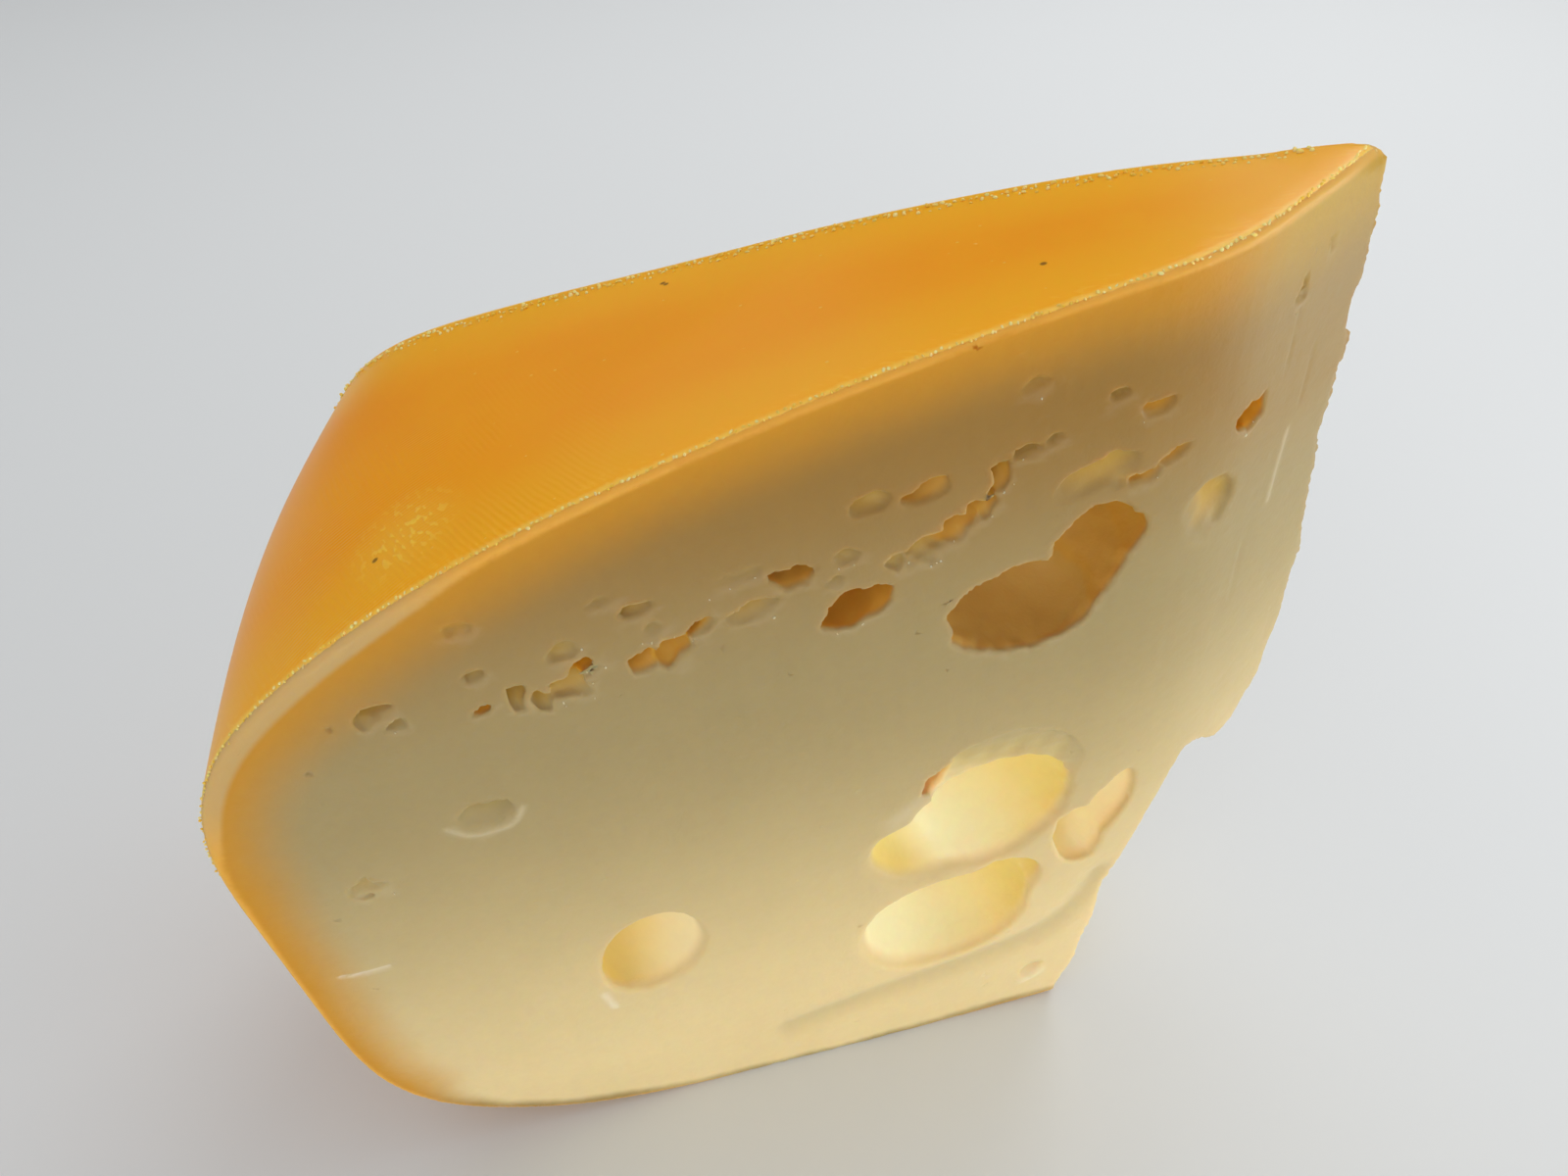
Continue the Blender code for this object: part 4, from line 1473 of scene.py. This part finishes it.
@dataclass
class CheeseBody:
    """The wedge's one closed mesh, from paste to coating."""

    name: str = "cheese_body"
    form: WedgeForm = field(default_factory=WedgeForm)
    mesher: Mesher = Mesher((-167.0, -2.0, -9.5), (-34.0, 61.5, 123.5))
    most_triangles: int = 185000
    shoulder: float = 55.0
    near_reach: Span = (-6.0, -4.0)

    def build(self) -> bpy.types.Object:
        """Meshes the wedge's field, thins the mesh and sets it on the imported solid.

        Returns:
            The finished piece.
        """
        self.form.prepare()
        grid = self.mesher.sample(self.form)
        vertices, quads = self.mesher.nets(grid)
        log.info("body: %d vertices and %d quads", len(vertices), len(quads))
        vertices = self.mesher.settle(self.form, vertices)
        rough = self.as_mesh(vertices, quads)
        mesh = self.thinned(rough)
        vertices = np.zeros(len(mesh.vertices) * 3)
        mesh.vertices.foreach_get("co", vertices)
        vertices = self.mesher.settle(self.form, vertices.reshape(-1, 3), 1)
        self.write_places(mesh, vertices)
        self.write_values(mesh, vertices)
        mesh.shade_smooth()
        return stood(self.name, mesh)

    def as_mesh(self, vertices: np.ndarray, quads: np.ndarray) -> bpy.types.Mesh:
        """A mesh of quads."""
        mesh = bpy.data.meshes.new(self.name)
        mesh.vertices.add(len(vertices))
        mesh.vertices.foreach_set("co", vertices.astype(np.float32).ravel())
        mesh.loops.add(quads.size)
        mesh.loops.foreach_set("vertex_index", quads.astype(np.int32).ravel())
        mesh.polygons.add(len(quads))
        mesh.polygons.foreach_set("loop_start", np.arange(0, quads.size, 4, dtype=np.int32))
        mesh.update(calc_edges=True)
        mesh.validate()
        return mesh

    def thinned(self, mesh: bpy.types.Mesh) -> bpy.types.Mesh:
        """The mesh with fewer triangles where it is flat."""
        holder = stood(self.name + "_rough", mesh)
        triangles = 2 * len(mesh.polygons)
        if triangles > self.most_triangles:
            step = holder.modifiers.new("thin", "DECIMATE")
            step.ratio = self.most_triangles / triangles
            step.use_collapse_triangulate = True
        return applied(holder, self.name)

    def shift(self) -> np.ndarray:
        """From the leaned wheel's frame to the row's: the near cut lies on the solid's front."""
        low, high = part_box("cheese_wedge")
        flat = self.form.wheel.section(0.0)[:, [0, 0, 1]] * np.array([-1.0, 0.0, 1.0])
        return np.array([low.x / MM - self.form.to_table(flat)[:, 0].min(), low.y / MM, 0.0])

    def placed(self, points: np.ndarray) -> np.ndarray:
        """Points of the wheel's frame in the row's frame, in metres."""
        return (self.form.to_table(points) + self.shift()) * MM

    def write_places(self, mesh: bpy.types.Mesh, vertices: np.ndarray) -> None:
        """Sets the mesh's vertices from places in the wheel's frame."""
        mesh.vertices.foreach_set("co", self.placed(vertices).astype(np.float32).ravel())
        mesh.update()

    def write_values(self, mesh: bpy.types.Mesh, vertices: np.ndarray) -> None:
        """Gives the mesh the values that its finish reads, in millimetres."""
        form, wheel = self.form, self.form.wheel
        height = vertices[:, 2] - wheel.belly
        beyond = np.hypot(vertices[:, 0], vertices[:, 1]) - (wheel.radius - self.shoulder)
        lip, undercut, warm = form.walls(vertices)
        near = ease(*self.near_reach, form.near_cut(vertices))
        values = {
            "rind": np.maximum(-form.skin(vertices), 0.0),
            "cut": np.maximum(-form.cuts(vertices), 0.0),
            "pit": np.maximum(-form.blank(vertices), 0.0),
            "below_top": wheel.rise[0] - height,
            "around": np.arctan2(vertices[:, 1], -vertices[:, 0]) * wheel.radius,
            "over": np.arctan2(height, beyond) * self.shoulder,
            "rim": form.at_rim(vertices),
            "lip": lip,
            "undercut": undercut,
            "warm": warm,
            "tip": form.at_tip(vertices),
            "pale": form.marks(vertices)[1] * near,
        }
        for name, value in values.items():
            layer = mesh.attributes.new(name, "FLOAT", "POINT")
            layer.data.foreach_set("value", value.astype(np.float32))

    def dress(self, body: bpy.types.Object) -> None:
        """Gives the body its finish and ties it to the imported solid."""
        body.data.materials.clear()
        body.data.materials.append(CheeseFinish().make())
        self.carry(body)
        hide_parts("cheese_wedge")

    def carry(self, piece: bpy.types.Object) -> None:
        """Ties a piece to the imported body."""
        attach(piece, "root")


@dataclass(frozen=True)
class EdgeBeads:
    """Small beads of coating in a row along a cut edge of the wedge's top."""

    name: str
    face: CutFace
    inset: float
    down: float
    pitch: float
    size: float
    spread: float
    seed: int
    from_tip: float = 4.0
    least: Triple = (0.45, 0.45, 0.35)
    most: Triple = (1.5, 1.1, 0.8)

    def line(self, body: CheeseBody) -> np.ndarray:
        """The row's path on the coated skin, in the wheel's frame.

        Args:
            body: The wedge that carries the row.

        Returns:
            The path's points, from the rim to the tip.
        """
        form = body.form
        near = self.face is CutFace.NEAR
        share, across = (0.0, self.inset) if near else (1.0, -self.inset)
        radius, height = form.wheel.section(share, 500).T
        kept = (height > form.wheel.belly + self.down) & (radius > form.tip_radius + self.from_tip)
        radius, height = radius[kept], height[kept]
        turn = share * form.angle
        x = across * math.sin(turn) - radius * math.cos(turn)
        y = across * math.cos(turn) + radius * math.sin(turn)
        path = np.stack((x, y, height), axis=1)
        if near:
            path[:, 1] += [form.near_wall(x)[0] for x in path[:, 0]]
        return body.mesher.settle(form, path, 3)

    def build(self, body: CheeseBody) -> bpy.types.Object:
        """Sets the beads along their path."""
        path = body.placed(self.line(body))
        source = bpy.data.meshes.new(self.name + "_path")
        source.from_pydata(path.tolist(), [(i, i + 1) for i in range(len(path) - 1)], [])
        bench = ShapeBench(self.name)
        pitch, size = bench.dial("Pitch", self.pitch * MM), bench.dial("Size", self.size * MM)
        spread, seed = bench.dial("Spread", self.spread * MM), bench.dial("Seed", self.seed)
        curve = bench.wire("GeometryNodeMeshToCurve", None, {0: bench.shape()})
        links = {"Curve": curve, "Length": pitch}
        row = bench.wire("GeometryNodeResampleCurve", {"mode": "LENGTH"}, links)
        links = {"Radius": size, "Segments": 8, "Rings": 5}
        bead = bench.wire("GeometryNodeMeshUVSphere", None, links)
        beads = bench.strewn(row, bead, self.least, self.most, seed)
        way = bench.vector((-1.0, -1.0, -0.3), (1.0, 1.0, 0.1), seed)
        links = {0: way, "Scale": spread}
        shift = bench.wire("ShaderNodeVectorMath", {"operation": "SCALE"}, links)
        links = {"Instances": beads, "Translation": shift, "Local Space": False}
        moved = bench.wire("GeometryNodeTranslateInstances", None, links)
        piece = bench.made(source, moved, BEAD_FINISH.make())
        body.carry(piece)
        return piece


@dataclass(frozen=True)
class Crumbs:
    """Crumbs of paste that cling to the torn lips of the eyes."""

    name: str = "crumbs"
    density: float = 0.5e6
    size: float = 0.14
    seed: int = 11
    least: Triple = (0.4, 0.4, 0.3)
    most: Triple = (1.7, 1.2, 0.9)

    def build(self, body: CheeseBody, carrier: bpy.types.Object) -> bpy.types.Object:
        """Scatters the crumbs over the body's lips."""
        bench = ShapeBench(self.name)
        density, size = bench.dial("Density", self.density), bench.dial("Size", self.size * MM)
        seed = bench.dial("Seed", self.seed)
        settings = {"data_type": "FLOAT"}
        lip = bench.wire("GeometryNodeInputNamedAttribute", settings, {"Name": "lip"})
        links = {"Mesh": bench.shape(), "Density": lip**2.0 * density, "Seed": seed}
        settings = {"distribute_method": "RANDOM"}
        points = bench.wire("GeometryNodeDistributePointsOnFaces", settings, links)
        links = {"Radius": size, "Subdivisions": 1}
        grain = bench.wire("GeometryNodeMeshIcoSphere", None, links)
        grains = bench.strewn(points, grain, self.least, self.most, seed)
        piece = bench.made(carrier.data.copy(), grains, CRUMB_FINISH.make())
        body.carry(piece)
        return piece


# ---------------------------------------------------------------------- the studio


@dataclass(frozen=True)
class Lamp:
    """A soft rectangular light."""

    name: str
    place: Triple
    aim: Triple
    size: Span
    power: float

    def build(self) -> bpy.types.Object:
        """Hangs the light and points it at its aim."""
        data = bpy.data.lights.new(self.name, "AREA")
        data.shape = "RECTANGLE"
        data.size, data.size_y = self.size
        data.energy = self.power
        lamp = stood(self.name, data)
        lamp.location = self.place
        lamp.visible_camera = False
        beam = Vector(self.aim) - Vector(self.place)
        lamp.rotation_euler = beam.to_track_quat("-Z", "Y").to_euler()
        return lamp


@dataclass(frozen=True)
class Glow:
    """Soft light from one side of the room, strongest straight along its direction.

    turn is counted in degrees from straight behind the wedge, clockwise from above, and
    height in degrees above the floor. A higher focus makes it narrower.
    """

    turn: float
    height: float
    focus: float
    strength: float

    def way(self) -> Triple:
        """The direction that the light comes from."""
        turn, height = math.radians(self.turn), math.radians(self.height)
        level = math.cos(height)
        return math.sin(turn) * level, math.cos(turn) * level, math.sin(height)


@dataclass(frozen=True)
class Studio:
    """The floor, the lights and the camera around the wedge."""

    floor_half: float = 1.5
    camera_place: Triple = (-0.0226961, -0.1127261, 0.1684191)
    camera_turn: Triple = (47.7748, 2.5092, -14.0262)
    lens: float = 27.9
    sensor: float = 36.0
    nearest: float = 0.01
    glows: tuple[Glow, ...] = (
        Glow(0.0, 90.0, 6.0, 0.71),
        Glow(0.0, 45.0, 8.0, 0.60),
        Glow(90.0, 45.0, 8.0, 0.81),
        Glow(180.0, 45.0, 8.0, 0.30),
        Glow(135.0, 15.0, 12.0, 1.00),
        Glow(225.0, 15.0, 12.0, 2.10),
        Glow(270.0, 15.0, 12.0, 0.90),
        Glow(315.0, 15.0, 12.0, 0.36),
    )
    lamps: tuple[Lamp, ...] = (
        Lamp("lamp_back_right", (0.40, 0.40, 0.45), (0.05, 0.05, 0.0), (0.3, 0.3), 0.95),
        Lamp("lamp_right", (0.50, 0.05, 0.40), (0.05, 0.0, 0.0), (0.3, 0.3), 0.20),
        Lamp("lamp_back", (-0.10, 0.55, 0.45), (0.0, 0.05, 0.0), (0.3, 0.3), 0.22),
        Lamp("lamp_top", (0.15, 0.15, 0.60), (0.05, 0.05, 0.0), (0.3, 0.3), 0.28),
        Lamp("lamp_low_right", (0.30, -0.12, 0.02), (0.03, -0.03, 0.04), (0.2, 0.1), 0.40),
        Lamp("lamp_front", (-0.02, -0.50, 0.05), (0.0, -0.03, 0.04), (0.30, 0.08), 0.60),
    )

    def build(self) -> None:
        """Sets up the whole studio."""
        self.build_floor()
        self.build_air()
        self.build_camera()
        for lamp in self.lamps:
            lamp.build()
        settings = bpy.context.scene.view_settings
        settings.view_transform = "Standard"
        settings.look = "None"

    def build_floor(self) -> None:
        """Lays the floor."""
        half = self.floor_half
        mesh = bpy.data.meshes.new("floor")
        corners = [(-half, -half, 0.0), (half, -half, 0.0), (half, half, 0.0), (-half, half, 0.0)]
        mesh.from_pydata(corners, [], [(0, 1, 2, 3)])
        mesh.materials.append(FloorFinish().make())
        floor = stood("floor", mesh)

    def build_air(self) -> None:
        """Fills the room with soft light."""
        world = bpy.data.worlds.new("room")
        bench = FinishBench(world)
        light = sum(bench.along(glow.way()) ** glow.focus * glow.strength for glow in self.glows)
        links = {"Color": (1.0, 1.0, 1.0, 1.0), "Strength": light}
        background = bench.node("ShaderNodeBackground", None, links)
        output = bench.node("ShaderNodeOutputWorld")
        bench.tree.links.new(background.outputs[0], output.inputs[0])
        bpy.context.scene.world = world

    def build_camera(self) -> None:
        """Sets the camera."""
        data = bpy.data.cameras.new("camera")
        data.lens = self.lens
        data.sensor_width = self.sensor
        data.clip_start = self.nearest
        camera = stood("camera", data)
        camera.location = self.camera_place
        camera.rotation_euler = Euler([math.radians(turn) for turn in self.camera_turn], "XYZ")
        bpy.context.scene.camera = camera


def report(piece: bpy.types.Object) -> None:
    """Logs a piece's size, its triangles and its open edges."""
    shape = bmesh.new()
    shape.from_mesh(piece.data)
    open_edges = sum(1 for edge in shape.edges if not edge.is_manifold)
    triangles = sum(len(face.verts) - 2 for face in shape.faces)
    volume = shape.calc_volume(signed=True)
    shape.free()
    text = "%s: %d triangles, %d open edges, %.1f cm3"
    log.info(text, piece.name, triangles, open_edges, volume * 1e6)


def main() -> None:
    """Builds the wedge and the studio around it."""
    logging.basicConfig(level=logging.INFO, stream=sys.stdout)
    wedge = CheeseBody()
    body = wedge.build()
    wedge.dress(body)
    report(body)
    rows = (
        EdgeBeads("near_edge_beads", CutFace.NEAR, 0.5, 8.0, 0.60, 0.22, 0.20, seed=3),
        EdgeBeads("far_edge_beads", CutFace.FAR, 1.9, 14.0, 0.75, 0.30, 0.25, seed=5),
        EdgeBeads("far_edge_beads_inner", CutFace.FAR, 2.8, 25.0, 1.1, 0.30, 0.4, seed=8),
    )
    for row in rows:
        report(row.build(wedge))
    report(Crumbs().build(wedge, body))
    Studio().build()


if __name__ == "__main__":
    main()
